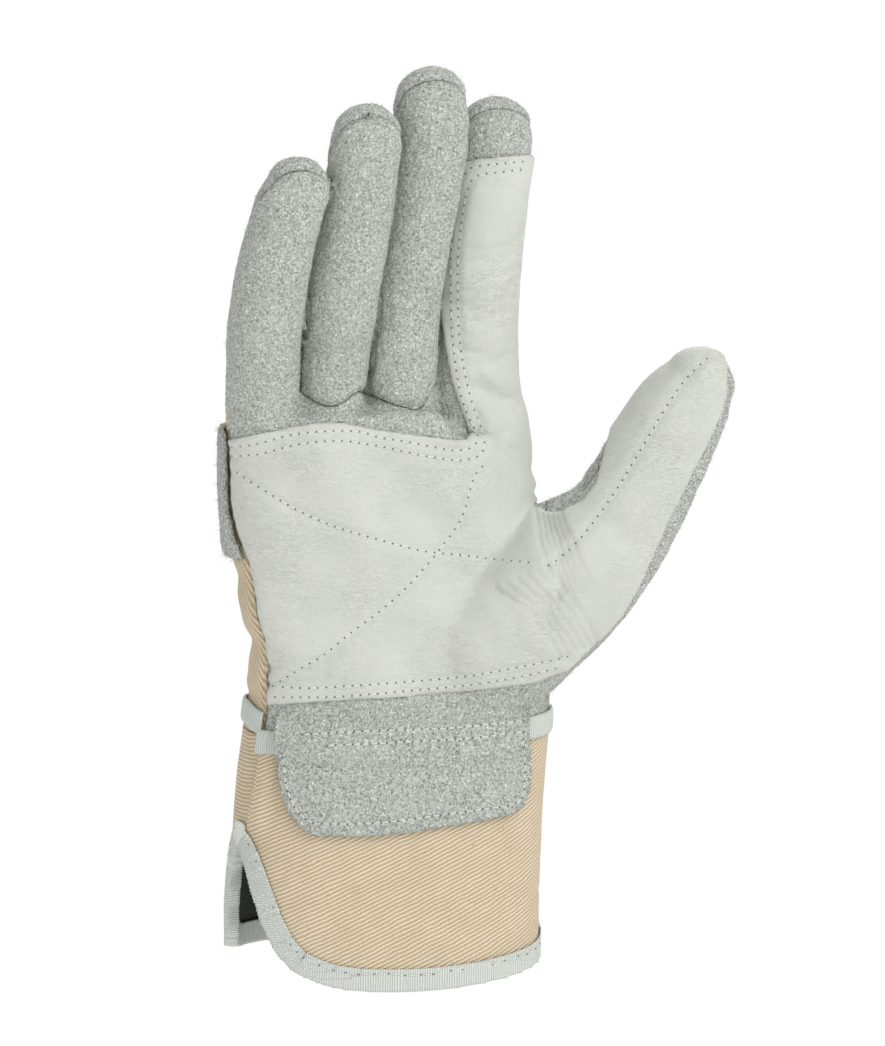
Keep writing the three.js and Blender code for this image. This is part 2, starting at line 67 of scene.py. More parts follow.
# Numbers that scatter a noise's cells: one for each axis, one for the pattern and one for the result.
SCATTER_AXES = (12.9898, 78.233, 37.719)
SCATTER_PATTERN = 4.1414
SCATTER_SCALE = 43758.5453
LOG = logging.getLogger("rigger_glove")

BMesh = bmesh.types.BMesh
Material = bpy.types.Material
NodeTree = bpy.types.NodeTree
Object = bpy.types.Object
Socket = bpy.types.NodeSocket
# A level gives one number for each point, and a measure gives a row of numbers for each point.
Level = Callable[[np.ndarray], np.ndarray]
Measure = Callable[[np.ndarray], np.ndarray]
Pixels = Sequence[tuple[float, float]]
# A lump is one noise of a rough surface: its height and its size in millimetres, and its pattern.
Lump = tuple[float, float, int]


class Panel(Enum):
    """The panels that the hand is sewn from, named as the solids that they replace."""

    PALM = "palm_split"
    RING = "ring_front"
    MIDDLE = "middle_front"
    BACK = "back_panel"
    LITTLE_CAP = "little_cap"
    RING_CAP = "ring_cap"
    MIDDLE_CAP = "middle_cap"
    INDEX_BACK = "index_back"
    THUMB_BACK = "thumb_back"


class Table:
    """Rows of sizes with named columns, read at any height through a smooth curve."""

    def __init__(self, columns: str, rows: Sequence[Sequence[float]]) -> None:
        """Keeps the rows and works out the slope at each of them.

        Args:
            columns: Names of the columns, the first being the height.
            rows: One row of numbers for each height, from low to high.
        """
        self.names = columns.split()
        self.rows = np.array(rows, dtype=float)
        heights = self.rows[:, :1]
        self.slopes = np.empty_like(self.rows)
        self.slopes[1:-1] = (self.rows[2:] - self.rows[:-2]) / (heights[2:] - heights[:-2])
        self.slopes[0] = (self.rows[1] - self.rows[0]) / (heights[1] - heights[0])
        self.slopes[-1] = (self.rows[-1] - self.rows[-2]) / (heights[-1] - heights[-2])

    def at(self, height: np.ndarray | float) -> dict[str, np.ndarray]:
        """Reads every column at some heights.

        Args:
            height: A height or an array of heights, held at the first and last rows beyond them.

        Returns:
            An array for each column name, of the same shape as the heights.
        """
        ups = self.rows[:, 0]
        t = np.clip(np.asarray(height, dtype=float), ups[0], ups[-1])
        i = np.clip(np.searchsorted(ups, t) - 1, 0, len(ups) - 2)
        span = ups[i + 1] - ups[i]
        s = ((t - ups[i]) / span)[..., None]
        ease = s * s * (3 - 2 * s)
        start = s * (1 - s) ** 2 * span[..., None] * self.slopes[i]
        end = s * s * (1 - s) * span[..., None] * self.slopes[i + 1]
        read = self.rows[i] + (self.rows[i + 1] - self.rows[i]) * ease + start - end
        return {name: read[..., k] for k, name in enumerate(self.names)}


def smoothstep(value: np.ndarray | float, low: float, high: float) -> np.ndarray:
    """Eases from 0 at a low value to 1 at a high one."""
    share = np.clip((np.asarray(value, dtype=float) - low) / (high - low), 0, 1)
    return share * share * (3 - 2 * share)


def round_share(value: np.ndarray, roundness: float) -> np.ndarray:
    """Turns a cosine or sine into that of a rounded oval, which is squarer as the roundness grows."""
    return np.sign(value) * np.abs(value) ** (2 / roundness)


@dataclass(frozen=True)
class Digit:
    """A finger or the thumb: its root on the palm and its rows of shares."""

    length: float
    width: float
    depth: float
    root_side: float
    root_fore: float
    root_up: float
    rows: Table


DIGIT_COLUMNS = "up side fore wide thick"

LITTLE = Digit(76, 21.4, 20, -0.455, 0.29, 1.0, Table(DIGIT_COLUMNS, [
    [-0.3, 0.04, -0.08, 0.92, 1.05],
    [0.0, 0.0, 0.0, 0.97, 1.05],
    [0.25, -0.012, 0.085, 1.0, 1.02],
    [0.45, -0.004, 0.145, 1.0, 1.0],
    [0.66, 0.024, 0.2, 0.97, 0.97],
    [0.82, 0.062, 0.245, 0.92, 0.93],
    [0.895, 0.09, 0.265, 0.86, 0.87],
]))
RING = Digit(91, 20.8, 20, -0.232, 0.2, 1.0, Table(DIGIT_COLUMNS, [
    [-0.25, 0.02, -0.05, 0.92, 1.05],
    [0.0, 0.0, 0.0, 0.94, 1.05],
    [0.19, 0.006, 0.05, 0.98, 1.0],
    [0.36, 0.02, 0.112, 1.0, 1.0],
    [0.53, 0.042, 0.152, 1.0, 1.0],
    [0.7, 0.062, 0.182, 1.0, 0.98],
    [0.86, 0.075, 0.212, 0.97, 0.93],
    [0.905, 0.08, 0.218, 0.93, 0.88],
]))
MIDDLE = Digit(100, 20.8, 20, -0.002, 0.14, 1.0, Table(DIGIT_COLUMNS, [
    [-0.22, 0.0, -0.03, 0.95, 1.05],
    [0.0, 0.0, 0.0, 0.97, 1.05],
    [0.3, 0.013, 0.034, 0.97, 1.0],
    [0.46, 0.031, 0.064, 0.98, 1.0],
    [0.61, 0.052, 0.094, 1.0, 1.0],
    [0.77, 0.069, 0.124, 1.03, 0.98],
    [0.88, 0.066, 0.14, 1.02, 0.94],
    [0.915, 0.065, 0.144, 0.97, 0.9],
]))
INDEX = Digit(89, 21.4, 20, 0.246, -0.01, 1.0, Table(DIGIT_COLUMNS, [
    [-0.25, 0.055, 0.0, 1.16, 1.05],
    [-0.11, 0.03, 0.0, 1.2, 1.05],
    [0.0, 0.0, 0.0, 1.24, 1.05],
    [0.14, -0.003, 0.012, 1.16, 1.02],
    [0.33, 0.008, 0.036, 1.02, 1.0],
    [0.66, 0.034, 0.07, 1.0, 0.98],
    [0.83, 0.057, 0.08, 1.0, 0.93],
    [0.905, 0.062, 0.086, 0.94, 0.87],
]))
THUMB = Digit(104, 31, 24, 0.217, 0.15, 0.083, Table(DIGIT_COLUMNS, [
    [0.0, -0.02, 0.0, 1.15, 1.2],
    [0.17, 0.11, 0.03, 1.32, 1.42],
    [0.32, 0.262, 0.067, 1.3, 1.3],
    [0.45, 0.385, 0.087, 1.12, 1.13],
    [0.59, 0.468, 0.106, 1.02, 1.04],
    [0.74, 0.545, 0.13, 0.93, 0.98],
    [0.85, 0.602, 0.149, 0.79, 0.88],
    [0.905, 0.636, 0.165, 0.62, 0.74],
]))
FINGERS = (LITTLE, RING, MIDDLE, INDEX)


@dataclass(frozen=True)
class Hand:
    """The sizes of the hand and the cuff, and the places of the seams."""

    palm_length: float = 96
    palm_width: float = 92
    palm_depth: float = 40
    cuff_length: float = 75.4
    tip_dome: float = 8.5
    crotch_fall: float = 0.1
    body_round: float = 2.7
    digit_round: float = 2.2
    foot: float = -6
    crown: float = 94.6
    crown_insets: tuple[float, ...] = (0.25, 0.5, 0.75, 0.95)
    crotch_zone: tuple[float, float] = (0.09, 0.17)
    cap_length: float = 24
    tip_point: float = 1.25
    tip_shares: tuple[float, ...] = (0.8, 0.86, 0.972, 1.0)
    tip_reach: tuple[float, ...] = (0.0, 0.3, 1.0, 1.6)
    body: Table = field(default_factory=lambda: Table("up left right front back tilt cup", [
        [-75.4, -0.545, 0.45, 0.63, 0.64, 0.0, 0.0],
        [-49.0, -0.535, 0.457, 0.61, 0.63, 0.0, 0.0],
        [-26.4, -0.518, 0.468, 0.59, 0.61, 0.0, 0.0],
        [-9.05, -0.5, 0.482, 0.56, 0.59, 0.0, 0.0],
        [0.0, -0.486, 0.489, 0.55, 0.575, 0.0, 0.0],
        [9.6, -0.474, 0.489, 0.53, 0.52, 0.0, 0.0],
        [23.0, -0.467, 0.5, 0.51, 0.47, 0.02, 0.02],
        [38.4, -0.503, 0.5, 0.5, 0.46, 0.06, 0.07],
        [55.7, -0.535, 0.47, 0.5, 0.42, 0.13, 0.09],
        [73.9, -0.552, 0.437, 0.5, 0.34, 0.22, 0.06],
        [88.3, -0.556, 0.418, 0.5, 0.24, 0.28, 0.02],
        [94.6, -0.545, 0.41, 0.46, 0.17, 0.3, 0.0],
    ]))
    side_seam: Table = field(default_factory=lambda: Table("up left right", [
        [-0.1, -0.27, -0.12],
        [0.3, -0.26, -0.12],
        [0.6, -0.22, -0.06],
        [0.8, -0.22, 0.0],
        [1.0, -0.24, 0.06],
    ]))
    thumb_seam: Table = field(default_factory=lambda: Table("up side inner outer", [
        [-0.1, 0.4, 0.18, 0.18],
        [0.1, 0.4, 0.22, 0.26],
        [0.27, 0.41, 0.3, 0.42],
        [0.45, 0.415, 0.38, 0.52],
        [0.6, 0.435, 0.42, 0.58],
        [0.7, 0.47, 0.46, 0.6],
        [0.8, 0.54, 0.5, 0.62],
        [0.92, 0.6, 0.46, 0.7],
        [1.03, 0.64, 0.47, 0.74],
        [1.1, 0.65, 0.49, 0.76],
        [1.2, 0.66, 0.5, 0.78],
    ]))
    finger_base: Table = field(default_factory=lambda: Table("side up", [
        [-34.0, 106.5],
        [-32.0, 103.0],
        [-29.5, 99.3],
        [-26.0, 97.4],
        [-22.0, 97.0],
        [-18.5, 98.0],
        [-15.5, 99.8],
        [-13.0, 100.4],
        [-10.0, 98.6],
        [-6.5, 97.2],
        [-1.0, 96.0],
        [4.3, 95.6],
        [7.3, 97.2],
        [9.0, 99.5],
    ]))

    def body_point(self, angle: np.ndarray, up: np.ndarray, offset: np.ndarray | float) -> np.ndarray:
        """Finds points of the palm or the cuff.

        Args:
            angle: Angles round the body, 0 at the thumb's side and a quarter turn at the back.
            up: Heights above the wrist.
            offset: How far the points stand out of the glove's outer face.

        Returns:
            An array of points, with the coordinates in the last axis.
        """
        row = self.body.at(up)
        left = row["left"] * self.palm_width - offset
        right = row["right"] * self.palm_width + offset
        across = round_share(np.cos(angle), self.body_round)
        through = round_share(np.sin(angle), self.body_round)
        x = (left + right) / 2 + across * (right - left) / 2
        front = through < 0
        depth = np.where(front, row["front"], row["back"]) * self.palm_depth + offset
        hollow = np.where(front, row["cup"] * self.palm_depth * np.maximum(1 - across * across, 0), 0)
        y = through * depth + hollow + row["tilt"] * self.palm_depth * x / self.palm_width
        return np.stack(np.broadcast_arrays(x, y, up), axis=-1)

    def spine(self, digit: Digit, height: np.ndarray | float) -> tuple[np.ndarray, np.ndarray, np.ndarray]:
        """Gives the middle line and the half sizes of a finger or the thumb at a height.

        Returns:
            The middle's points, the half widths and the half depths.
        """
        root = digit.root_up * self.palm_length
        share = (np.asarray(height, dtype=float) - root) / digit.length
        row = digit.rows.at(share)
        share = np.clip(share, digit.rows.rows[0, 0], digit.rows.rows[-1, 0])
        x = digit.root_side * self.palm_width + row["side"] * digit.length
        y = -digit.root_fore * self.palm_depth - row["fore"] * digit.length
        middle = np.stack([x, y, root + share * digit.length], axis=-1)
        return middle, row["wide"] * digit.width / 2, row["thick"] * digit.depth / 2

    def palm_sections(self, rows: int = 60, columns: int = 120) -> np.ndarray:
        """Lays out the palm, whose top falls away to the index finger's deeper crotch."""
        angle = np.linspace(0, 2 * np.pi, columns, endpoint=False)
        heights = np.linspace(self.foot, self.crown, rows)[:, None] + 0 * angle[None, :]
        side = self.body_point(angle[None, :], heights, 0)[..., 0] / self.palm_width
        fallen = heights * (1 - self.crotch_fall * smoothstep(side, *self.crotch_zone))
        fallen = np.where(heights < 0, heights, fallen)
        rings = self.body_point(angle[None, :], fallen, 0)
        rim = rings[-1]
        crowns = []
        for inset in self.crown_insets:
            crown = rim + (rim.mean(axis=0) - rim) * inset
            fall = self.crotch_fall * smoothstep(crown[:, 0] / self.palm_width, *self.crotch_zone)
            crown[:, 2] = self.crown * (1 - fall) + inset
            crowns.append(crown)
        return np.concatenate([rings, np.array(crowns)])

    def digit_sections(self, digit: Digit, rows: int = 48, columns: int = 44) -> np.ndarray:
        """Lays out a finger or the thumb in ovals square to its middle line, with a domed tip."""
        root = digit.root_up * self.palm_length
        start, end = (root + share * digit.length for share in digit.rows.rows[[0, -1], 0])
        step = (end - start) / 10
        angle = np.linspace(0, 2 * np.pi, columns, endpoint=False)
        across_share = round_share(np.cos(angle), self.digit_round)[:, None]
        back_share = round_share(np.sin(angle), self.digit_round)[:, None]
        turns = np.radians(np.arange(8, 89, 8))
        stations = [(height, 0.0, 1.0) for height in np.linspace(start, end, rows)]
        for turn in turns:
            stations.append((end, math.sin(turn) * self.tip_dome, math.cos(turn) ** self.tip_point))
        sections = []
        for height, slide, share in stations:
            middle, wide, thick = self.spine(digit, height)
            ahead = self.spine(digit, min(height + step, end))[0]
            behind = self.spine(digit, max(height - step, start))[0]
            along = (ahead - behind) / np.linalg.norm(ahead - behind)
            across = np.array([1.0, 0.0, 0.0]) - along * along[0]
            across /= np.linalg.norm(across)
            back = np.cross(along, across)
            ring = middle + along * slide + across * across_share * wide * share
            sections.append(ring + back * back_share * thick * share)
        return np.array(sections)

    def border(self, left: Digit, right: Digit, points: np.ndarray) -> np.ndarray:
        """Says how far points lie past the line that parts two neighbouring fingers, towards the thumb."""
        first, first_wide, _ = self.spine(left, points[:, 2])
        second, second_wide, _ = self.spine(right, points[:, 2])
        between = first + (second - first) * (first_wide / (first_wide + second_wide))[:, None]
        lean = (second[:, 1] - first[:, 1]) / (second[:, 0] - first[:, 0])
        return points[:, 0] - between[:, 0] + (points[:, 1] - between[:, 1]) * lean

    def thumb_side(self, points: np.ndarray) -> np.ndarray:
        """Says how far points lie past the line where the thumb's zone begins."""
        return points[:, 0] - self.thumb_seam.at(points[:, 2] / self.palm_length)["side"] * self.palm_width

    def behind_thumb_seam(self, points: np.ndarray) -> np.ndarray:
        """Says how far points lie behind the thumb's seam."""
        row = self.thumb_seam.at(points[:, 2] / self.palm_length)
        left = row["side"] * self.palm_width
        right = 1.1 * self.palm_width
        share = (points[:, 0] - left) / (right - left)
        return points[:, 1] + self.palm_depth * (row["inner"] + (row["outer"] - row["inner"]) * share)

    def finger_of(self, points: np.ndarray) -> np.ndarray:
        """Says which finger's room each point is in, counted from the little finger."""
        place = np.zeros(len(points), dtype=int)
        for k in range(3):
            place += self.border(FINGERS[k], FINGERS[k + 1], points) > 0
        return place

    def behind_hand_seam(self, points: np.ndarray) -> np.ndarray:
        """Says how far points of the palm and the fingers lie behind the side seams."""
        x, y, z = points.T
        row = self.side_seam.at(np.minimum(z / self.palm_length, 1))
        depth = (row["left"] + (row["right"] - row["left"]) * (x / self.palm_width + 0.5)) * self.palm_depth
        place = self.finger_of(points)
        for k, finger in enumerate(FINGERS):
            share = (z - self.palm_length) / finger.length
            middle, _, thick = self.spine(finger, z)
            over_tip = np.interp(share, self.tip_shares, self.tip_reach)
            own = middle[:, 1] + (0.3 - over_tip) * thick
            blend = smoothstep(share, 0, 0.2)
            depth = np.where((place == k) & (z > self.palm_length), depth + (own - depth) * blend, depth)
        return y - depth

    def above_base(self, points: np.ndarray) -> np.ndarray:
        """Says how far points lie above the seam at the base of the ring and middle fingers."""
        return points[:, 2] - self.finger_base.at(points[:, 0])["up"]

    def above_caps(self, points: np.ndarray) -> np.ndarray:
        """Says how far points lie above the lower edge of their fingertip's back piece."""
        tops = np.array([self.palm_length + finger.length - self.cap_length for finger in FINGERS])
        return points[:, 2] - tops[self.finger_of(points)]

    def panel_of(self, points: np.ndarray) -> np.ndarray:
        """Says which panel each point belongs to, as an index into the list of panels."""
        panels = list(Panel)
        place = self.finger_of(points)
        thumb = self.thumb_side(points) > 0
        behind = np.where(thumb, self.behind_thumb_seam(points), self.behind_hand_seam(points)) > 0
        up = points[:, 2]
        result = np.full(len(points), panels.index(Panel.PALM))
        based = self.above_base(points) > 0
        result[~behind & based & (place == 1)] = panels.index(Panel.RING)
        result[~behind & based & (place == 2)] = panels.index(Panel.MIDDLE)
        result[behind] = panels.index(Panel.BACK)
        capped = behind & (self.above_caps(points) > 0) & (up > self.palm_length)
        for k, cap in enumerate((Panel.LITTLE_CAP, Panel.RING_CAP, Panel.MIDDLE_CAP)):
            result[capped & (place == k)] = panels.index(cap)
        result[behind & (place == 3) & (up > self.palm_length)] = panels.index(Panel.INDEX_BACK)
        result[behind & thumb] = panels.index(Panel.THUMB_BACK)
        return result


@dataclass(frozen=True)
class PhotoPlane:
    """The plane of the photograph through the wrist, and the camera that looks at it."""

    width: int = 885
    height: int = 1046
    wrist_u: float = 396
    wrist_v: float = 722
    pixels_per_mm: float = 3.426
    right: tuple[float, float, float] = (0.9781, -0.2079, 0.0)
    up: tuple[float, float, float] = (0.0361, 0.1698, 0.9848)
    distance: float = 4000

    @property
    def ahead(self) -> np.ndarray:
        """Gives the direction that the camera looks in."""
        return -np.cross(np.array(self.right), np.array(self.up))

    def seen(self, points: np.ndarray) -> np.ndarray:
        """Gives the pixel of the photograph where each point is seen."""
        across = points @ np.array(self.right) * self.pixels_per_mm + self.wrist_u
        down = self.wrist_v - points @ np.array(self.up) * self.pixels_per_mm
        return np.stack([across, down], axis=-1)

    def eye(self, pixel: Sequence[float]) -> np.ndarray:
        """Gives the point in front of the glove from which a pixel's line of sight starts."""
        across = (pixel[0] - self.wrist_u) / self.pixels_per_mm
        high = (self.wrist_v - pixel[1]) / self.pixels_per_mm
        return across * np.array(self.right) + high * np.array(self.up) - self.ahead * FAR


HAND = Hand()
PHOTO = PhotoPlane()


def outline_distance(pixels: np.ndarray, line: Pixels, closed: bool = False) -> np.ndarray:
    """Measures how far pixels lie from a line of pixels.

    Args:
        pixels: The pixels to measure from.
        line: The corners of the line.
        closed: Whether the line is an outline, whose inside counts as negative.

    Returns:
        The distances in millimetres.
    """
    corners = np.array(line, dtype=float)
    ends = np.roll(corners, -1, axis=0) if closed else corners[1:]
    starts = corners if closed else corners[:-1]
    best = np.full(len(pixels), np.inf)
    inside = np.zeros(len(pixels), dtype=bool)
    for start, end in zip(starts, ends):
        run = end - start
        share = np.clip((pixels - start) @ run / (run @ run), 0, 1)
        best = np.minimum(best, np.linalg.norm(pixels - start - share[:, None] * run, axis=1))
        if closed:
            crosses = (start[1] > pixels[:, 1]) != (end[1] > pixels[:, 1])
            rise = run[1] if run[1] else 1.0
            inside ^= crosses & (pixels[:, 0] < start[0] + (pixels[:, 1] - start[1]) * run[0] / rise)
    return np.where(inside, -best, best) / PHOTO.pixels_per_mm


def points_of(mesh: BMesh) -> np.ndarray:
    """Gives a mesh's vertices in millimetres."""
    return np.array([vert.co[:] for vert in mesh.verts]) / MM


def normals_of(mesh: BMesh) -> np.ndarray:
    """Gives the normals of a mesh's vertices."""
    mesh.normal_update()
    return np.array([vert.normal[:] for vert in mesh.verts])


def centres_of(mesh: BMesh) -> np.ndarray:
    """Gives the centres of a mesh's faces in millimetres."""
    return np.array([face.calc_center_median()[:] for face in mesh.faces]) / MM


def place(mesh: BMesh, points: np.ndarray) -> None:
    """Puts a mesh's vertices at points in millimetres."""
    for vert, point in zip(mesh.verts, points.reshape(-1, 3) * MM):
        vert.co = point


def grid_surface(points: np.ndarray, round_about: bool = False) -> BMesh:
    """Makes a sheet through rows of points.

    Args:
        points: Rows and columns of points in millimetres.
        round_about: Whether each row closes on itself.

    Returns:
        A mesh of quads.
    """
    if round_about:
        points = np.concatenate([points, points[:, :1]], axis=1)
    rows, columns = points.shape[:2]
    mesh = bmesh.new()
    bmesh.ops.create_grid(mesh, x_segments=columns - 1, y_segments=rows - 1, size=1)
    place(mesh, points)
    if round_about:
        bmesh.ops.remove_doubles(mesh, verts=mesh.verts, dist=1e-7)
    return mesh


def lofted(sections: np.ndarray) -> BMesh:
    """Makes a closed form through sections, with both ends filled."""
    mesh = grid_surface(sections, round_about=True)
    bmesh.ops.holes_fill(mesh, edges=[edge for edge in mesh.edges if edge.is_boundary], sides=0)
    bmesh.ops.recalc_face_normals(mesh, faces=mesh.faces)
    return mesh


def mesh_data(mesh: BMesh, name: str) -> bpy.types.Mesh:
    """Stores a mesh under a name and frees it."""
    data = bpy.data.meshes.new(name)
    mesh.to_mesh(data)
    mesh.free()
    return data


def joined(meshes: Sequence[BMesh]) -> BMesh:
    """Puts several meshes into one, and frees them."""
    whole = bmesh.new()
    for mesh in meshes:
        data = mesh_data(mesh, "joining")
        whole.from_mesh(data)
        bpy.data.meshes.remove(data)
    return whole


def remeshed(mesh: BMesh, voxel: float) -> BMesh:
    """Turns overlapping closed forms into one even skin.

    Args:
        mesh: The forms, which are freed.
        voxel: The size of the skin's faces in millimetres.

    Returns:
        The skin.
    """
    holder = bpy.data.objects.new("skin", mesh_data(mesh, "skin"))
    bpy.context.scene.collection.objects.link(holder)
    skinning = holder.modifiers.new("skinning", "REMESH")
    skinning.mode = "VOXEL"
    skinning.voxel_size = voxel * MM
    result = bmesh.new()
    result.from_object(holder, bpy.context.evaluated_depsgraph_get())
    data = holder.data
    bpy.data.objects.remove(holder)
    bpy.data.meshes.remove(data)
    return result


def cut_along(
    mesh: BMesh,
    level: Level,
    where: Level | None = None,
    snap: float = 0.16,
    least: float = 0.02,
) -> None:
    """Splits the faces where a level passes through zero.

    Args:
        mesh: The mesh to split.
        level: Gives the level of each point.
        where: Says which points the split may pass through, if it isn't all of them.
        snap: The share of an edge within which its end moves onto the split, in place of a new vertex.
        least: The least share of an edge that a new vertex leaves on each side of it.
    """
    points = points_of(mesh)
    values = level(points)
    mesh.verts.index_update()
    edges = np.array([(edge.verts[0].index, edge.verts[1].index) for edge in mesh.edges])
    first, second = values[edges[:, 0]], values[edges[:, 1]]
    crossing = (first > 0) != (second > 0)
    if where is not None:
        crossing &= where((points[edges[:, 0]] + points[edges[:, 1]]) / 2)
    picked = np.flatnonzero(crossing)
    shares = first[picked] / (first[picked] - second[picked])
    mesh.edges.ensure_lookup_table()
    found = [(mesh.edges[i], share) for i, share in zip(picked, shares)]
    on_line: set[bmesh.types.BMVert] = set()
    for edge, share in found:
        if min(share, 1 - share) > snap:
            continue
        near, other = (edge.verts[0], edge.verts[1]) if share < 0.5 else (edge.verts[1], edge.verts[0])
        if near not in on_line and other not in on_line:
            near.co = near.co.lerp(other.co, min(share, 1 - share))
            on_line.add(near)
    for edge, share in found:
        if edge.verts[0] in on_line or edge.verts[1] in on_line:
            continue
        share = min(max(share, least), 1 - least)
        on_line.add(bmesh.utils.edge_split(edge, edge.verts[0], share)[1])
    bmesh.ops.connect_verts(mesh, verts=list(on_line), check_degenerate=False)


def kept_where(mesh: BMesh, keep: np.ndarray) -> BMesh:
    """Copies the faces of a mesh that are to be kept."""
    copy = mesh.copy()
    unwanted = [face for face, wanted in zip(copy.faces, keep) if not wanted]
    bmesh.ops.delete(copy, geom=unwanted, context="FACES")
    return copy


def rim_points(mesh: BMesh) -> list[Vector]:
    """Gives the places of the vertices on a sheet's open edges."""
    return [vert.co.copy() for vert in mesh.verts if vert.is_boundary]


def distance_to(points: np.ndarray, targets: Sequence[Vector]) -> np.ndarray:
    """Measures how far points in millimetres lie from the nearest of some targets in metres."""
    tree = KDTree(len(targets))
    for i, target in enumerate(targets):
        tree.insert(target, i)
    tree.balance()
    return np.array([tree.find(point)[2] for point in points * MM]) / MM


def hash_noise(cells: np.ndarray, seed: int) -> np.ndarray:
    """Gives each whole-numbered cell a fixed value between -1 and 1."""
    wave = np.sin(cells @ np.array(SCATTER_AXES) + seed * SCATTER_PATTERN) * SCATTER_SCALE
    return 2 * (wave - np.floor(wave)) - 1


def noise(points: np.ndarray, size: float, seed: int) -> np.ndarray:
    """Gives smooth noise between about -1 and 1.

    Args:
        points: Points in millimetres.
        size: The size of the noise's lumps in millimetres.
        seed: Which of the possible patterns it is.

    Returns:
        One value for each point.
    """
    scaled = points / size
    cell = np.floor(scaled)
    share = scaled - cell
    ease = share * share * (3 - 2 * share)
    total = np.zeros(len(points))
    for corner in np.ndindex(2, 2, 2):
        weight = np.prod(np.where(np.array(corner), ease, 1 - ease), axis=1)
        total += weight * hash_noise(cell + corner, seed)
    return total


def unevenness(points: np.ndarray, rough: Sequence[Lump]) -> np.ndarray:
    """Adds up the noises of a rough surface, in millimetres."""
    return sum(height * noise(points, size, seed) for height, size, seed in rough)


def bell(away: np.ndarray, width: float = 1.0) -> np.ndarray:
    """Gives 1 at no distance and falls off smoothly on both sides."""
    return np.exp(-(away / width) ** 2)


def even_out(mesh: BMesh, verts: Sequence[bmesh.types.BMVert], passes: int) -> None:
    """Smooths some vertices of a mesh."""
    for _ in range(passes):
        bmesh.ops.smooth_vert(
            mesh, verts=verts, factor=0.5, use_axis_x=True, use_axis_y=True, use_axis_z=True
        )


def sheet_object(mesh: BMesh, name: str, finish: Material) -> Object:
    """Makes a smooth-shaded object of a mesh, which is freed."""
    data = mesh_data(mesh, name)
    data.shade_smooth()
    data.materials.append(finish)
    piece = bpy.data.objects.new(name, data)
    bpy.context.scene.collection.objects.link(piece)
    return piece


def thicken(piece: Object, thickness: float) -> None:
    """Gives a sheet its thickness in millimetres, inwards from its outer face."""
    wall = piece.modifiers.new("wall", "SOLIDIFY")
    wall.thickness = thickness * MM
    wall.offset = -1.0
    wall.use_even_offset = False


def settle(piece: Object, replaced: str | None = None) -> None:
    """Lets a piece ride on the glove and hides the solid that it stands for."""
    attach(piece, ROOT)
    if replaced:
        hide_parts(replaced)
    LOG.info("%s: %d faces", piece.name, len(piece.data.polygons))


def linear_colour(code: str) -> tuple[float, float, float, float]:
    """Turns an sRGB hex colour into the linear colour that a shader takes."""
    parts = (int(code[i:i + 2], 16) / 255 for i in (1, 3, 5))
    red, green, blue = (
        part / 12.92 if part <= 0.04045 else ((part + 0.055) / 1.055) ** 2.4 for part in parts
    )
    return red, green, blue, 1.0


def add_node(tree: NodeTree, kind: str, inputs: dict, **settings: object) -> bpy.types.Node:
    """Adds a node to a material.

    Args:
        tree: The material's node tree.
        kind: The node's type.
        inputs: A value or an output to link for each input, by name or place.
        settings: The node's own settings.

    Returns:
        The node.
    """
    node = tree.nodes.new(kind)
    for name, value in settings.items():
        setattr(node, name, value)
    for name, value in inputs.items():
        if isinstance(value, Socket):
            tree.links.new(value, node.inputs[name])
        else:
            node.inputs[name].default_value = value
    return node


def new_material(name: str) -> tuple[Material, NodeTree]:
    """Starts a material with an empty node tree."""
    material = bpy.data.materials.new(name)
    material.use_nodes = True
    material.node_tree.nodes.clear()
    return material, material.node_tree


def finish_material(
    tree: NodeTree,
    colour: Socket,
    height: Socket,
    depth_mm: float,
    **sockets: float,
) -> None:
    """Ends a material with its bump and its shader.

    Args:
        tree: The material's node tree.
        colour: The output that gives the colour.
        height: The output that gives the relief, from 0 to 1.
        depth_mm: How deep the relief is.
        sockets: Values for the shader's own inputs, with underscores for spaces.
    """
    bump = {"Strength": 1.0, "Distance": depth_mm * MM, "Height": height}
    relief = add_node(tree, "ShaderNodeBump", bump)
    inputs: dict = {"Base Color": colour, "Normal": relief.outputs[0]}
    inputs.update({name.replace("_", " "): value for name, value in sockets.items()})
    shader = add_node(tree, "ShaderNodeBsdfPrincipled", inputs)
    add_node(tree, "ShaderNodeOutputMaterial", {"Surface": shader.outputs[0]})


def mixed(tree: NodeTree, share: object, first: Socket | str, second: Socket | str) -> Socket:
    """Mixes two colours, each an output or an sRGB hex colour, and returns the mixture's output."""
    first, second = (linear_colour(part) if isinstance(part, str) else part for part in (first, second))
    node = add_node(tree, "ShaderNodeMix", {0: share, 6: first, 7: second}, data_type="RGBA")
    return node.outputs[2]


def reckoned(tree: NodeTree, operation: str, *values: object) -> Socket:
    """Does a sum on numbers and returns its output."""
    node = add_node(tree, "ShaderNodeMath", dict(enumerate(values)), operation=operation)
    return node.outputs[0]


def ranged(
    tree: NodeTree,
    value: object,
    low: float,
    high: float,
    start: float = 0.0,
    end: float = 1.0,
) -> Socket:
    """Stretches a range of numbers to another and returns the output."""
    node = add_node(tree, "ShaderNodeMapRange", {0: value, 1: low, 2: high, 3: start, 4: end})
    return node.outputs[0]


def lumps(
    tree: NodeTree,
    place_at: object,
    size_mm: float,
    detail: float = 1.0,
    twist: float = 0.0,
) -> Socket:
    """Gives a noise whose lumps have a real size, from 0 to 1."""
    inputs = {"Vector": place_at, "Scale": 1 / (size_mm * MM), "Detail": detail, "Distortion": twist}
    return add_node(tree, "ShaderNodeTexNoise", inputs).outputs["Fac"]


def crooked_lines(tree: NodeTree, value: Socket, width: float) -> Socket:
    """Gives 1 along the crooked lines where a noise crosses its middle value, and 0 away from them."""
    off = reckoned(tree, "ABSOLUTE", reckoned(tree, "SUBTRACT", value, 0.5))
    return ranged(tree, off, 0.0, width, 1.0, 0.0)


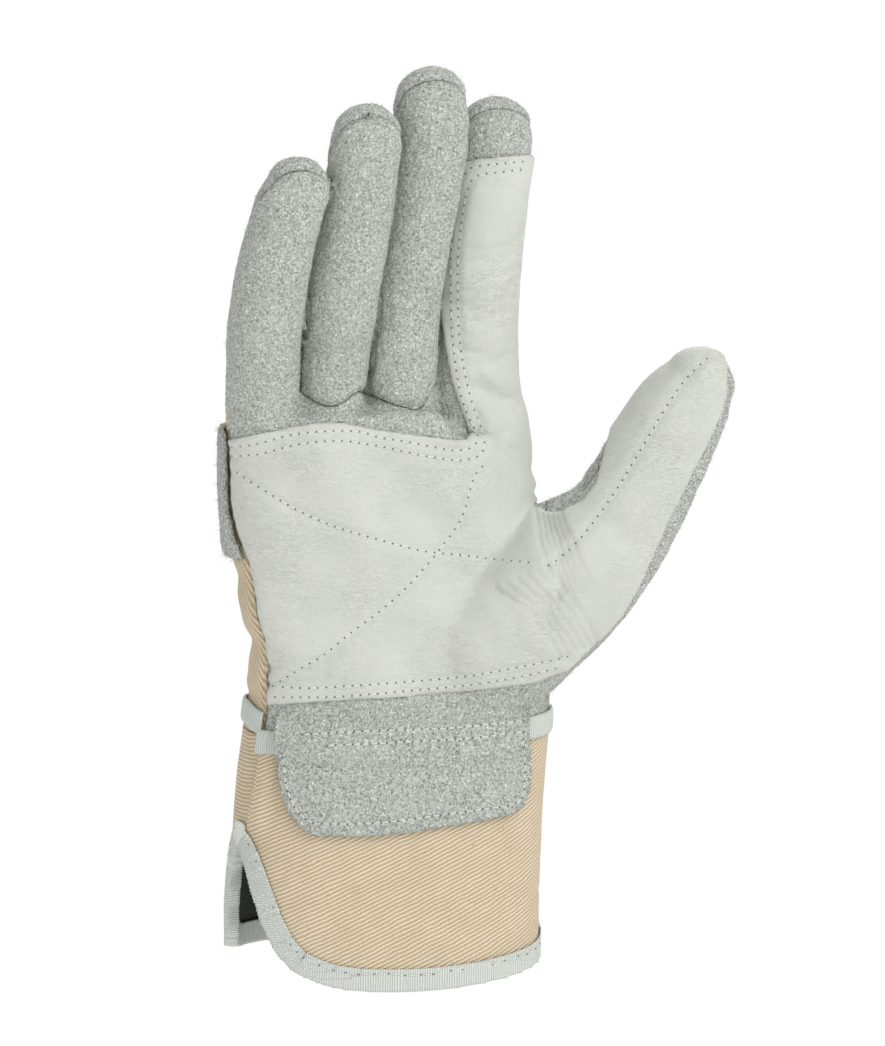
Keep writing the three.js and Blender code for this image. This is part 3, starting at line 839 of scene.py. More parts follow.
@dataclass(frozen=True)
class SplitSuede:
    """Split cowhide, buffed on both faces: matt, with a coarse nap of curled fibres and no grain."""

    name: str = "split_suede"
    # The fibre colour is a painted highlight on the fibres' tops, and the gap colour is painted shade
    # between the fibres.
    fibre: str = "#f6faf2"
    body: str = "#d5dcd2"
    gap: str = "#7a8278"
    curl_mm: float = 0.86
    fibre_mm: float = 0.34
    cloud_mm: float = 16.0
    relief_mm: float = 1.5

    def material(self) -> Material:
        """Builds the suede's node tree."""
        made, tree = new_material(self.name)
        spot = add_node(tree, "ShaderNodeTexCoord", {}).outputs["Object"]
        # Curled fibres lie where a noise crosses its middle value, as thin crooked worms.
        curl = lumps(tree, spot, self.curl_mm, 1.5, 0.6)
        worm = crooked_lines(tree, curl, 0.075)
        fine = lumps(tree, spot, self.fibre_mm, 2.0, 0.4)
        # Painted shade darkens the pits between the curls, towards the gap colour.
        pit_shade = ranged(tree, lumps(tree, spot, self.curl_mm * 0.8, 1.0, 0.3), 0.3, 0.62)
        cloud = ranged(tree, lumps(tree, spot, self.cloud_mm, 2.0), 0.35, 0.65)
        nap = reckoned(tree, "MULTIPLY_ADD", worm, 0.55, reckoned(tree, "MULTIPLY", fine, 0.45))
        # The gaps between the fibres are darkened with painted shade, and the fibres' tops get a painted
        # highlight.
        base = mixed(tree, ranged(tree, pit_shade, 0.0, 1.0, 0.0, 0.9), self.gap, self.body)
        colour = mixed(tree, ranged(tree, nap, 0.3, 0.72, 0.0, 0.95), base, self.fibre)
        shaded = mixed(tree, reckoned(tree, "MULTIPLY", cloud, 0.22), colour, self.body)
        # The tufts, a little wider than the curls, give the coarse relief that shades at the glove's sides.
        tuft = lumps(tree, spot, self.curl_mm * 1.5, 1.0, 0.5)
        height = reckoned(tree, "MULTIPLY_ADD", tuft, 1.3, reckoned(tree, "MULTIPLY", nap, 0.35))
        finish_material(tree, shaded, height, self.relief_mm, Roughness=0.95, Specular_IOR_Level=0.2,
                        Sheen_Weight=0.25, Sheen_Roughness=0.6)
        return made


@dataclass(frozen=True)
class GrainLeather:
    """Drum-dyed grain cowhide: smooth and softly glossy, with fine pores and creases where it bends."""

    name: str = "grain_cowhide"
    face: str = "#cccec6"
    shade: str = "#c0c3ba"
    # The crease colour is painted shade in the wrinkle lines.
    crease_shade: str = "#aeb1a7"
    pore_mm: float = 0.6
    crease_mm: float = 1.7
    slant_deg: float = 38
    squeeze: tuple[float, float, float] = (1.0, 1.0, 1.9)
    cloud_mm: float = 22.0
    relief_mm: float = 0.15

    def material(self) -> Material:
        """Builds the leather's node tree."""
        made, tree = new_material(self.name)
        spot = add_node(tree, "ShaderNodeTexCoord", {}).outputs["Object"]
        turn = (0.0, math.radians(self.slant_deg), 0.0)
        slant = add_node(tree, "ShaderNodeMapping", {0: spot, 2: turn, 3: self.squeeze})
        fold = lumps(tree, slant.outputs[0], self.crease_mm, 3.0, 1.2)
        line = crooked_lines(tree, fold, 0.035)
        where = ranged(tree, lumps(tree, spot, self.cloud_mm, 1.0), 0.2, 0.7)
        wrinkle = reckoned(tree, "MULTIPLY", line, where)
        pore = add_node(tree, "ShaderNodeTexVoronoi", {"Vector": spot, "Scale": 1 / (self.pore_mm * MM)},
                        feature="DISTANCE_TO_EDGE").outputs["Distance"]
        grain = ranged(tree, pore, 0.0, 0.25)
        cloud = ranged(tree, lumps(tree, spot, self.cloud_mm * 0.7, 3.0), 0.35, 0.7)
        colour = mixed(tree, reckoned(tree, "MULTIPLY", cloud, 0.45), self.face, self.shade)
        # Painted shade darkens the wrinkle lines.
        lined = mixed(tree, reckoned(tree, "MULTIPLY", wrinkle, 0.18), colour, self.crease_shade)
        height = reckoned(tree, "SUBTRACT", reckoned(tree, "MULTIPLY", grain, 0.3),
                          reckoned(tree, "MULTIPLY", wrinkle, 0.42))
        finish_material(tree, lined, height, self.relief_mm, Roughness=0.52, Specular_IOR_Level=0.42,
                        Coat_Weight=0.05, Coat_Roughness=0.4)
        return made


@dataclass(frozen=True)
class TwillCloth:
    """Undyed cotton drill, woven in a twill: steep ribs of thick yarn, with painted shade darkening the
    furrows between them.
    """

    name: str = "cotton_drill"
    rib: str = "#efe0c6"
    # The furrow colour is painted shade in the furrows between the ribs.
    furrow_shade: str = "#b39e7b"
    speck: str = "#8c7350"
    rib_mm: float = 1.15
    yarn_mm: float = 0.62
    relief_mm: float = 0.3
    roughness: float = 0.9

    def material(self) -> Material:
        """Builds the cloth's node tree on its own map, whose first axis runs across the ribs."""
        made, tree = new_material(self.name)
        flat = add_node(tree, "ShaderNodeUVMap", {}, uv_map="weave").outputs[0]
        parts = add_node(tree, "ShaderNodeSeparateXYZ", {0: flat})
        stray = lumps(tree, flat, 5.0, 2.0)
        ribs = reckoned(tree, "MULTIPLY", parts.outputs[0], 1 / (self.rib_mm * MM))
        across = reckoned(tree, "MULTIPLY_ADD", stray, 0.7, ribs)
        along = reckoned(tree, "MULTIPLY", parts.outputs[1], 1 / (self.yarn_mm * MM))
        rib = reckoned(tree, "PINGPONG", across, 0.5)
        step = reckoned(tree, "MULTIPLY_ADD", reckoned(tree, "FLOOR", across), 0.5, along)
        yarn = reckoned(tree, "PINGPONG", step, 0.5)
        ridge = ranged(tree, rib, 0.08, 0.36)
        bead = ranged(tree, yarn, 0.0, 0.3, 0.62, 1.0)
        relief = reckoned(tree, "MULTIPLY", ridge, bead)
        fluff = lumps(tree, flat, 0.5, 2.0)
        tone = lumps(tree, flat, 9.0, 2.0)
        # Painted shade darkens the furrows between the ribs, following the relief.
        share = reckoned(tree, "MULTIPLY_ADD", fluff, 0.25, reckoned(tree, "MULTIPLY", relief, 0.85))
        colour = mixed(tree, share, self.furrow_shade, self.rib)
        aged = mixed(tree, ranged(tree, tone, 0.35, 0.75, 0.0, 0.2), colour, self.furrow_shade)
        # A few dark flecks of seed husk are left in undyed cotton.
        fleck = ranged(tree, lumps(tree, flat, 1.3, 0.0), 0.81, 0.86, 0.0, 0.6)
        flecked = mixed(tree, fleck, aged, self.speck)
        finish_material(tree, flecked, relief, self.relief_mm, Roughness=self.roughness,
                        Specular_IOR_Level=0.2, Sheen_Weight=0.12)
        return made


@dataclass(frozen=True)
class RibbedTape:
    """Woven polyester tape: fine ribs across its length, with a faint gloss on each."""

    name: str = "ribbed_polyester_tape"
    rib: str = "#dce1da"
    # The furrow colour is painted shade between the ribs.
    furrow_shade: str = "#b0b7af"
    rib_mm: float = 0.72
    relief_mm: float = 0.16

    def material(self) -> Material:
        """Builds the tape's node tree on its own map, whose first axis runs along the tape."""
        made, tree = new_material(self.name)
        flat = add_node(tree, "ShaderNodeUVMap", {}, uv_map="weave").outputs[0]
        parts = add_node(tree, "ShaderNodeSeparateXYZ", {0: flat})
        along = reckoned(tree, "MULTIPLY_ADD", lumps(tree, flat, 2.0, 1.0), 0.5,
                         reckoned(tree, "MULTIPLY", parts.outputs[0], 1 / (self.rib_mm * MM)))
        rib = ranged(tree, reckoned(tree, "PINGPONG", along, 0.5), 0.04, 0.4)
        fluff = lumps(tree, flat, 0.45, 2.0)
        # Painted shade darkens the furrows between the ribs, following the relief.
        share = reckoned(tree, "MULTIPLY_ADD", fluff, 0.3, reckoned(tree, "MULTIPLY", rib, 0.75))
        colour = mixed(tree, share, self.furrow_shade, self.rib)
        finish_material(tree, colour, rib, self.relief_mm, Roughness=0.75, Specular_IOR_Level=0.3)
        return made


@dataclass(frozen=True)
class PlainFinish:
    """Sewing thread, or the shadow in a needle's hole: one small colour with a slight fleck."""

    name: str
    light: str
    dark: str
    grain_mm: float
    roughness: float

    def material(self) -> Material:
        """Builds the finish's node tree."""
        made, tree = new_material(self.name)
        spot = add_node(tree, "ShaderNodeTexCoord", {}).outputs["Object"]
        fleck = lumps(tree, spot, self.grain_mm, 1.0)
        colour = mixed(tree, fleck, self.dark, self.light)
        finish_material(tree, colour, fleck, 0.05, Roughness=self.roughness, Specular_IOR_Level=0.2)
        return made


class Finishes:
    """Every finish of the glove, each made once."""

    def __init__(self) -> None:
        """Makes the materials."""
        self.suede = SplitSuede().material()
        self.leather = GrainLeather().material()
        self.drill = TwillCloth().material()
        self.tape = RibbedTape().material()
        # The lining is a thin dark twill, finer and flatter than the drill.
        self.lining = TwillCloth(
            "lining_twill", "#43483f", "#23261f", "#5a5f55", 0.8, 0.5, 0.12, 0.95
        ).material()
        # Lockstitch thread in bonded polyester, as white as the leather that it sinks into.
        self.thread = PlainFinish("bonded_thread", "#e9ebe5", "#c9ccc4", 0.3, 0.6).material()
        # A needle's hole swallows the light, so its shade is painted as a dark grey dot.
        self.hole_shade = PlainFinish("needle_hole_shade", "#8a8c82", "#5d5f56", 0.4, 1.0).material()


def repeated(template: BMesh, frames: Sequence[Matrix], name: str) -> bpy.types.Mesh:
    """Copies a small shape to many places in one mesh.

    Args:
        template: The shape, which is freed.
        frames: Where each copy goes, in metres.
        name: The mesh's name.

    Returns:
        The mesh with all the copies.
    """
    corners = np.array([[*vert.co, 1.0] for vert in template.verts])
    faces = [[vert.index for vert in face.verts] for face in template.faces]
    template.free()
    placed = np.concatenate([corners @ np.array(frame).T for frame in frames])[:, :3]
    loops = [[corner + k * len(corners) for corner in face] for k in range(len(frames)) for face in faces]
    data = bpy.data.meshes.new(name)
    data.from_pydata(placed.tolist(), [], loops)
    data.update()
    return data


def data_object(data: bpy.types.Mesh, finish: Material) -> Object:
    """Makes a smooth-shaded object of a mesh's data."""
    data.shade_smooth()
    data.materials.append(finish)
    piece = bpy.data.objects.new(data.name, data)
    bpy.context.scene.collection.objects.link(piece)
    return piece


def frame_at(spot: Vector, along: Vector, up: Vector) -> Matrix:
    """Gives a frame at a spot whose Z runs along one direction and whose X points up from the surface."""
    z_axis = along.normalized()
    y_axis = z_axis.cross(up).normalized()
    x_axis = y_axis.cross(z_axis)
    frame = Matrix((x_axis, y_axis, z_axis)).transposed().to_4x4()
    frame.translation = spot
    return frame


def evenly_spaced(line: Pixels, pitch_mm: float) -> np.ndarray:
    """Gives pixels at an even pitch along a smooth line through some pixels."""
    corners = np.array(line, dtype=float)
    smooth = [corners[0]]
    for k in range(len(corners) - 1):
        before, after = corners[max(k - 1, 0)], corners[min(k + 2, len(corners) - 1)]
        first, second = corners[k], corners[k + 1]
        for share in np.linspace(0, 1, 9)[1:]:
            ease = share * share * (3 - 2 * share)
            start = share * (1 - share) ** 2 * (second - before) / 2
            end = share * share * (1 - share) * (after - first) / 2
            smooth.append(first + (second - first) * ease + start - end)
    path = np.array(smooth)
    runs = np.concatenate([[0], np.cumsum(np.linalg.norm(np.diff(path, axis=0), axis=1))])
    count = max(int(round(runs[-1] / (pitch_mm * PHOTO.pixels_per_mm))), 1)
    stops = np.linspace(0, runs[-1], count + 1)
    return np.stack([np.interp(stops, runs, path[:, 0]), np.interp(stops, runs, path[:, 1])], axis=-1)


@dataclass(frozen=True)
class Sewing:
    """Rows of lockstitch: short threads between needle holes, whose shade is painted as dark grey dots."""

    pitch: float = 2.5
    thread_radius: float = 0.19
    hole_radius: float = 0.36
    gap: float = 0.4
    longest: float = 2.5
    thread_sunk: float = 0.2
    hole_depth: float = 0.1

    def sew(self, name: str, surface: BVHTree, rows: Sequence[Pixels], finishes: Finishes) -> None:
        """Sews rows that the photograph shows onto a surface.

        Args:
            name: What the names of the two pieces start with.
            surface: The outer face that the rows lie on.
            rows: The rows, as lines of pixels.
            finishes: The finishes of the glove.
        """
        runs = [[self.hit(surface, pixel) for pixel in evenly_spaced(row, self.pitch)] for row in rows]
        self.stitch(name, runs, finishes)

    def stitch(self, name: str, runs: Sequence[Sequence], finishes: Finishes) -> None:
        """Sews runs of places.

        Args:
            name: What the names of the two pieces start with.
            runs: For each run, its places with their normals, or nothing where the surface ends.
            finishes: The finishes of the glove.
        """
        threads: list[Matrix] = []
        holes: list[Matrix] = []
        for found in runs:
            for spot in found:
                if spot:
                    holes.append(frame_at(spot[0], spot[1], Vector((0.3, 0.2, 0.9))))
            for first, second in zip(found, found[1:]):
                if first and second and (first[0] - second[0]).length < self.longest * self.pitch * MM:
                    threads.append(self.span(first, second))
        self.make(name, threads, holes, finishes)

    def hit(self, surface: BVHTree, pixel: np.ndarray) -> tuple[Vector, Vector] | None:
        """Finds where a pixel's line of sight meets a surface, and the surface's normal there."""
        spot, normal, _, _ = surface.ray_cast(Vector(PHOTO.eye(pixel) * MM), Vector(PHOTO.ahead))
        return (spot, normal) if spot else None

    def span(self, first: tuple[Vector, Vector], second: tuple[Vector, Vector]) -> Matrix:
        """Gives the frame of one thread between two holes."""
        run = second[0] - first[0]
        normal = (first[1] + second[1]).normalized()
        middle = (first[0] + second[0]) / 2 - normal * self.thread_radius * self.thread_sunk * MM
        frame = frame_at(middle, run, normal)
        return frame @ Matrix.Diagonal((1.0, 1.0, run.length / (self.pitch * MM), 1.0))

    def make(
        self, name: str, threads: Sequence[Matrix], holes: Sequence[Matrix], finishes: Finishes
    ) -> None:
        """Makes the pieces of a set of threads and holes."""
        thread = bmesh.new()
        length = (self.pitch / 2 - self.gap / 2) * MM
        shape = Matrix.Diagonal((self.thread_radius * MM, self.thread_radius * MM, length, 1.0))
        bmesh.ops.create_uvsphere(thread, u_segments=6, v_segments=6, radius=1, matrix=shape)
        settle(data_object(repeated(thread, threads, f"{name}_thread"), finishes.thread))
        hole_shade = bmesh.new()
        dot = Matrix.Diagonal((self.hole_radius * MM, self.hole_radius * MM, self.hole_depth * MM, 1.0))
        bmesh.ops.create_icosphere(hole_shade, subdivisions=1, radius=1, matrix=dot)
        settle(data_object(repeated(hole_shade, holes, f"{name}_holes"), finishes.hole_shade))


@dataclass(frozen=True)
class Nap:
    """Loose fibres that stand up from suede and fray at its cut edges."""

    radius: float = 0.055
    low: float = 0.45
    high: float = 1.1
    frayed_stretch: float = 1.5
    upright: float = 0.75
    wildness: float = 0.9
    taper: float = 0.3

    def grow(
        self,
        name: str,
        mesh: BMesh,
        count: int,
        frayed: Sequence[Vector],
        finish: Material,
        seed: int,
    ) -> None:
        """Grows fibres on a sheet's faces and from its frayed edges.

        Args:
            name: The piece's name.
            mesh: The sheet, whose faces are of about one size.
            count: How many fibres stand on the faces.
            frayed: Places on the frayed edges, one for each fibre there.
            finish: The fibres' material.
            seed: Where the random draws start.
        """
        chance = random.Random(seed)
        tree = BVHTree.FromBMesh(mesh)
        mesh.faces.ensure_lookup_table()
        spots = []
        for _ in range(count):
            face = mesh.faces[chance.randrange(len(mesh.faces))]
            spots.append((face.calc_center_median(), face.normal.copy(), 1.0))
        for spot in frayed:
            nearest, normal, _, _ = tree.find_nearest(spot)
            spots.append((nearest, normal, self.frayed_stretch))
        frames = []
        for spot, normal, stretch in spots:
            wild = Vector([chance.uniform(-1, 1) for _ in range(3)])
            along = (normal * self.upright + wild * self.wildness).normalized()
            length = chance.uniform(self.low, self.high) * stretch
            stretched = Matrix.Diagonal((1.0, 1.0, length, 1.0))
            frames.append(frame_at(spot, along, wild.cross(along)) @ stretched)
        fibre = bmesh.new()
        base = Matrix.Translation((0, 0, 0.5 * MM))
        bmesh.ops.create_cone(fibre, cap_ends=True, segments=3, radius1=self.radius * MM,
                              radius2=self.radius * self.taper * MM, depth=MM, matrix=base)
        settle(data_object(repeated(fibre, frames, name), finish))


@dataclass(frozen=True)
class Fold:
    """A fold that the photograph shows, as a line of pixels with a depth and a width in millimetres."""

    line: Pixels
    depth: float
    width: float


@dataclass(frozen=True)
class HandSkin:
    """The one smooth surface of the hand, before it is cut into panels."""

    voxel: float = 0.95
    groove: float = 1.15
    groove_width: float = 1.15
    swell: float = 0.3
    web_middle: tuple[float, float, float] = (47, -12, 58)
    web_radii: tuple[float, float, float] = (10.5, 8, 10.5)
    thumb_root: Pixels = ((556, 503), (518, 525), (490, 562), (464, 610), (452, 660), (450, 700))
    root_width: float = 12
    root_passes: float = 60
    crotch: Pixels = ((530, 500), (560, 508))
    crotch_width: float = 9
    knuckles: tuple[float, float] = (82, 110)
    knuckle_front: float = -6
    wrist: float = 0.2
    uneven: tuple[Lump, ...] = ((0.28, 11, 3), (0.14, 5, 4))
    wander: tuple[Lump, ...] = ((1.5, 14, 5),)
    swell_away: float = 2.6
    swell_width: float = 1.2
    folds: tuple[Fold, ...] = (
        Fold(((478, 388), (500, 400), (530, 398)), 0.9, 2.2),
        Fold(((462, 350), (490, 362), (514, 352)), 0.5, 2.6),
        Fold(((500, 440), (520, 455), (538, 478)), 0.7, 2.2),
        Fold(((540, 505), (556, 540), (562, 580), (548, 620)), 1.0, 3.4),
        Fold(((500, 590), (520, 600), (548, 600)), 0.5, 2.4),
        Fold(((272, 668), (300, 664), (338, 652)), 0.6, 1.8),
        Fold(((268, 684), (296, 678), (326, 672)), 0.45, 1.5),
        Fold(((462, 575), (490, 592), (516, 618)), 0.5, 2.6),
        Fold(((238, 300), (262, 306), (290, 298)), 0.5, 3.4),
        Fold(((304, 352), (330, 362), (362, 352)), 0.5, 3.4),
        Fold(((372, 330), (400, 338), (430, 326)), 0.45, 3.4),
        Fold(((330, 236), (350, 240), (380, 230)), 0.35, 3.4),
        Fold(((398, 210), (425, 216), (456, 205)), 0.35, 3.4),
        Fold(((315, 450), (345, 500), (395, 560), (470, 650)), -1.6, 7.5),
        Fold(((255, 560), (300, 590), (330, 640)), 1.1, 8.0),
        Fold(((385, 470), (400, 505), (440, 525)), 0.9, 5.0),
        Fold(((520, 240), (492, 262), (460, 258)), 0.5, 3.0),
        Fold(((450, 300), (480, 318), (516, 300)), 0.4, 3.0),
        Fold(((640, 430), (665, 452), (700, 452)), 0.5, 4.0),
        Fold(((600, 520), (635, 545), (662, 540)), 0.5, 4.0),
    )
    back_folds: tuple[tuple[float, float, float, float], ...] = (
        (48.0, -0.55, 1.3, 4.0),
        (37.0, 0.5, 1.5, 3.6),
        (26.0, -0.7, 1.6, 3.8),
        (15.0, 0.45, 1.3, 3.2),
        (6.5, -0.15, 1.1, 2.4),
    )

    def surface(self, voxel: float) -> BMesh:
        """Joins the palm, the fingers and the thumb into a skin with its folds.

        Args:
            voxel: The size of the skin's faces in millimetres.

        Returns:
            The skin.
        """
        forms = [lofted(HAND.palm_sections())]
        forms += [lofted(HAND.digit_sections(digit)) for digit in (*FINGERS, THUMB)]
        forms.append(self.web())
        skin = remeshed(joined(forms), voxel)
        even_out(skin, list(skin.verts), 4)
        # The valley between the palm and the thumb is drawn taut, and so are the knuckles behind it.
        root = outline_distance(PHOTO.seen(points_of(skin)), self.thumb_root)
        passes = int(self.root_passes / voxel ** 2)
        webbed = [
            vert for vert, away in zip(skin.verts, root) if away < self.root_width and vert.co.z > 2 * MM
        ]
        even_out(skin, webbed, passes)
        low, high = self.knuckles
        backs = [
            vert for vert in skin.verts
            if vert.co.y > self.knuckle_front * MM and low < vert.co.z / MM < high
        ]
        even_out(skin, backs, passes // 4)
        cut_along(skin, lambda q: q[:, 2] - self.wrist)
        self.keep_above_wrist(skin)
        self.fold(skin)
        return skin

    def web(self) -> BMesh:
        """Makes the web between the palm and the thumb."""
        mesh = bmesh.new()
        size = Matrix.Diagonal((*(Vector(self.web_radii) * MM), 1.0))
        place_at = Matrix.Translation(Vector(self.web_middle) * MM)
        bmesh.ops.create_uvsphere(mesh, u_segments=32, v_segments=20, radius=1, matrix=place_at @ size)
        return mesh

    def keep_above_wrist(self, skin: BMesh) -> None:
        """Drops the faces below the wrist's seam."""
        low = [face for face, centre in zip(skin.faces, centres_of(skin)) if centre[2] < self.wrist]
        bmesh.ops.delete(skin, geom=low, context="FACES")

    def fold(self, skin: BMesh) -> None:
        """Presses the folds into the skin, and gives it the unevenness of worn leather."""
        points, normals = points_of(skin), normals_of(skin)
        facing = smoothstep(-normals @ PHOTO.ahead, 0.0, 0.35)
        pixels = PHOTO.seen(points)
        shift = unevenness(points, self.uneven)
        for fold in self.folds:
            near = outline_distance(pixels, fold.line) / fold.width
            shift -= facing * fold.depth * (bell(near) - 0.35 * bell(near - 2.1))
        behind = smoothstep(HAND.behind_hand_seam(points), -1.0, 6.0) * (HAND.thumb_side(points) < 0)
        low = 0.7 - 0.7 * smoothstep(points[:, 2], 42, 52)
        for height, slope, depth, width in self.back_folds:
            line = points[:, 2] - height - slope * (points[:, 0] + 20)
            away = (line + unevenness(points, self.wander)) / width
            shift -= behind * low * depth * (bell(away) - 0.4 * bell(np.abs(away) - 1.8))
        place(skin, points + normals * (shift * smoothstep(points[:, 2], 0.2, 5.0))[:, None])

    def panels(self) -> dict[Panel, BMesh]:
        """Cuts the skin along its seams, sinks the seams, and parts it into sheets."""
        skin = self.surface(self.voxel)
        cut_along(skin, HAND.thumb_side, lambda q: q[:, 2] < 112)
        cut_along(skin, HAND.behind_hand_seam, lambda q: HAND.thumb_side(q) < 0.01)
        cut_along(skin, HAND.behind_thumb_seam, lambda q: HAND.thumb_side(q) > -0.01)
        cut_along(skin, HAND.above_base, lambda q: (HAND.behind_hand_seam(q) < 0.5) & (q[:, 2] < 112))
        cut_along(skin, HAND.above_caps, lambda q: (HAND.behind_hand_seam(q) > -0.5) & (q[:, 2] > 100))
        ids = HAND.panel_of(centres_of(skin))
        self.sink_seams(skin, self.seam_places(skin, ids))
        sheets = {panel: kept_where(skin, ids == k) for k, panel in enumerate(Panel)}
        skin.free()
        return sheets

    def seam_places(self, skin: BMesh, ids: np.ndarray) -> list[Vector]:
        """Finds the vertices where two panels meet."""
        skin.faces.index_update()
        found = [
            vert.co.copy() for vert in skin.verts if len({ids[face.index] for face in vert.link_faces}) > 1
        ]
        places = np.array([spot[:] for spot in found]) / MM
        # The seams at the crotch lie too close together to be sunk.
        crotch = outline_distance(PHOTO.seen(places), self.crotch) < self.crotch_width
        return [spot for spot, hidden in zip(found, crotch & (places[:, 1] < 5)) if not hidden]

    def sink_seams(self, skin: BMesh, seams: Sequence[Vector]) -> None:
        """Draws the skin in along its seams, with a slight swell beside them."""
        points, normals = points_of(skin), normals_of(skin)
        away = distance_to(points, seams)
        shallower = 1 - 0.35 * smoothstep(points[:, 2], 125, 150)
        pull = -self.groove * bell(away, self.groove_width) * shallower
        swell = self.swell * bell(away - self.swell_away, self.swell_width)
        pull += swell * (0.7 + 0.5 * noise(points, 4, 6))
        place(skin, points + normals * pull[:, None])


@dataclass(frozen=True)
class HandPanels:
    """The sheets of suede and drill that the hand is sewn from."""

    skin: HandSkin
    finishes: Finishes
    suede_wall: float = 1.4
    drill_wall: float = 1.2
    back_slope: float = -62.0
    weave_change: tuple[float, float] = (56.0, 86.0)
    straight_start: float = 56.0
    seam_gap: float = 0.14
    rough: tuple[Lump, ...] = ((0.1, 1.9, 0), (0.08, 3.2, 20))
    fibre_counts: dict[Panel, int] = field(default_factory=lambda: {
        Panel.PALM: 5200,
        Panel.RING: 1700,
        Panel.MIDDLE: 1800,
        Panel.THUMB_BACK: 2600,
        Panel.INDEX_BACK: 900,
        Panel.LITTLE_CAP: 350,
        Panel.RING_CAP: 350,
        Panel.MIDDLE_CAP: 350,
    })

    def build(self) -> None:
        """Makes every panel of the hand."""
        for seed, (panel, sheet) in enumerate(self.skin.panels().items()):
            self.separate(sheet)
            if panel is Panel.BACK:
                self.build_back(sheet)
                continue
            self.raise_nap(sheet, seed)
            rim = rim_points(sheet)[::5]
            count = self.fibre_counts[panel]
            Nap().grow(f"{panel.value}_fibres", sheet, count, rim, self.finishes.suede, seed)
            piece = sheet_object(sheet, f"{panel.value}_suede", self.finishes.suede)
            thicken(piece, self.suede_wall)
            settle(piece, panel.value)

    def build_back(self, sheet: BMesh) -> None:
        """Makes the drill panel on the back of the hand, with its weave's map."""
        points = points_of(sheet)
        # The fingers are too thin for the run round the palm, so their weave is laid straight across.
        low, high = self.weave_change
        share = smoothstep(points[:, 2], low, high)
        run = angle_run(points) * (1 - share) + (self.straight_start - points[:, 0]) * share
        map_weave(sheet, run, points[:, 2], self.back_slope)
        piece = sheet_object(sheet, "back_panel_drill", self.finishes.drill)
        thicken(piece, self.drill_wall)
        settle(piece, Panel.BACK.value)

    def separate(self, sheet: BMesh) -> None:
        """Pulls a sheet's edge a little inwards, so that neighbours don't touch."""
        for vert in [vert for vert in sheet.verts if vert.is_boundary]:
            inner = [face.calc_center_median() for face in vert.link_faces]
            middle = sum(inner, Vector()) / len(inner)
            if vert.co.z > 1 * MM and (middle - vert.co).length > 0:
                vert.co += (middle - vert.co).normalized() * self.seam_gap * MM

    def raise_nap(self, sheet: BMesh, seed: int) -> None:
        """Roughens a suede sheet."""
        points, normals = points_of(sheet), normals_of(sheet)
        rough = unevenness(points, [(height, size, seed + own) for height, size, own in self.rough])
        place(sheet, points + normals * rough[:, None])


def body_angle(points: np.ndarray) -> np.ndarray:
    """Gives the angle of points round the body, as body_point takes it."""
    x, y, z = points.T
    row = HAND.body.at(z)
    left, right = row["left"] * HAND.palm_width, row["right"] * HAND.palm_width
    across = (2 * x - left - right) / (right - left)
    level = y - row["tilt"] * HAND.palm_depth * x / HAND.palm_width
    through = level / (np.where(level < 0, row["front"], row["back"]) * HAND.palm_depth)
    power = HAND.body_round / 2
    rise = np.sign(through) * np.abs(through) ** power
    angle = np.arctan2(rise, np.sign(across) * np.abs(across) ** power)
    return np.where(angle < 0, angle + 2 * math.pi, angle)


def body_normal(points: np.ndarray) -> np.ndarray:
    """Gives the way out of the cuff's smooth face at some points."""
    angle, up = body_angle(points), points[:, 2]
    out = HAND.body_point(angle, up, 1.0) - HAND.body_point(angle, up, 0.0)
    return out / np.linalg.norm(out, axis=1, keepdims=True)


def angle_run(points: np.ndarray) -> np.ndarray:
    """Gives how far round the body points lie, in millimetres from the thumb's side."""
    turns = np.linspace(0, 2 * math.pi, 361)
    ring = HAND.body_point(turns, np.full(len(turns), -0.5 * HAND.cuff_length), 0.0)
    lengths = np.concatenate([[0], np.cumsum(np.linalg.norm(np.diff(ring, axis=0), axis=1))])
    return np.interp(body_angle(points), turns, lengths)


def map_weave(
    mesh: BMesh, run: np.ndarray, up: np.ndarray, slope_deg: float | np.ndarray
) -> None:
    """Gives a mesh the map of its weave, whose first axis runs across the ribs, in metres.

    Args:
        mesh: The mesh.
        run: How far along the cloth each vertex lies, in millimetres, starting again after a lap.
        up: How far across the cloth each vertex lies, in millimetres.
        slope_deg: How steeply the ribs climb, one number or one for each face.
    """
    layer = mesh.loops.layers.uv.new("weave")
    mesh.verts.index_update()
    lap = run.max() - run.min()
    slopes = np.radians(np.broadcast_to(slope_deg, len(mesh.faces)))
    for face, slope in zip(mesh.faces, slopes):
        highest = max(run[vert.index] for vert in face.verts)
        for loop in face.loops:
            along = run[loop.vert.index]
            if highest - along > lap / 2:
                along += lap
            high = up[loop.vert.index]
            across = high * math.cos(slope) - along * math.sin(slope)
            loop[layer].uv = (across * MM, (high * math.sin(slope) + along * math.cos(slope)) * MM)


@dataclass(frozen=True)
class CreaseFan:
    """A family of fine creases between two lines of pixels."""

    first: Pixels
    last: Pixels
    count: int
    depth: float
    width: float = 0.8

    def depth_at(self, pixels: np.ndarray) -> np.ndarray:
        """Gives how deep the creases are at some pixels, in millimetres."""
        first, last = np.array(self.first, dtype=float), np.array(self.last, dtype=float)
        total = np.zeros(len(pixels))
        for share in np.linspace(0, 1, self.count):
            near = outline_distance(pixels, first + (last - first) * share) / self.width
            total = np.maximum(total, self.depth * bell(near))
        return total


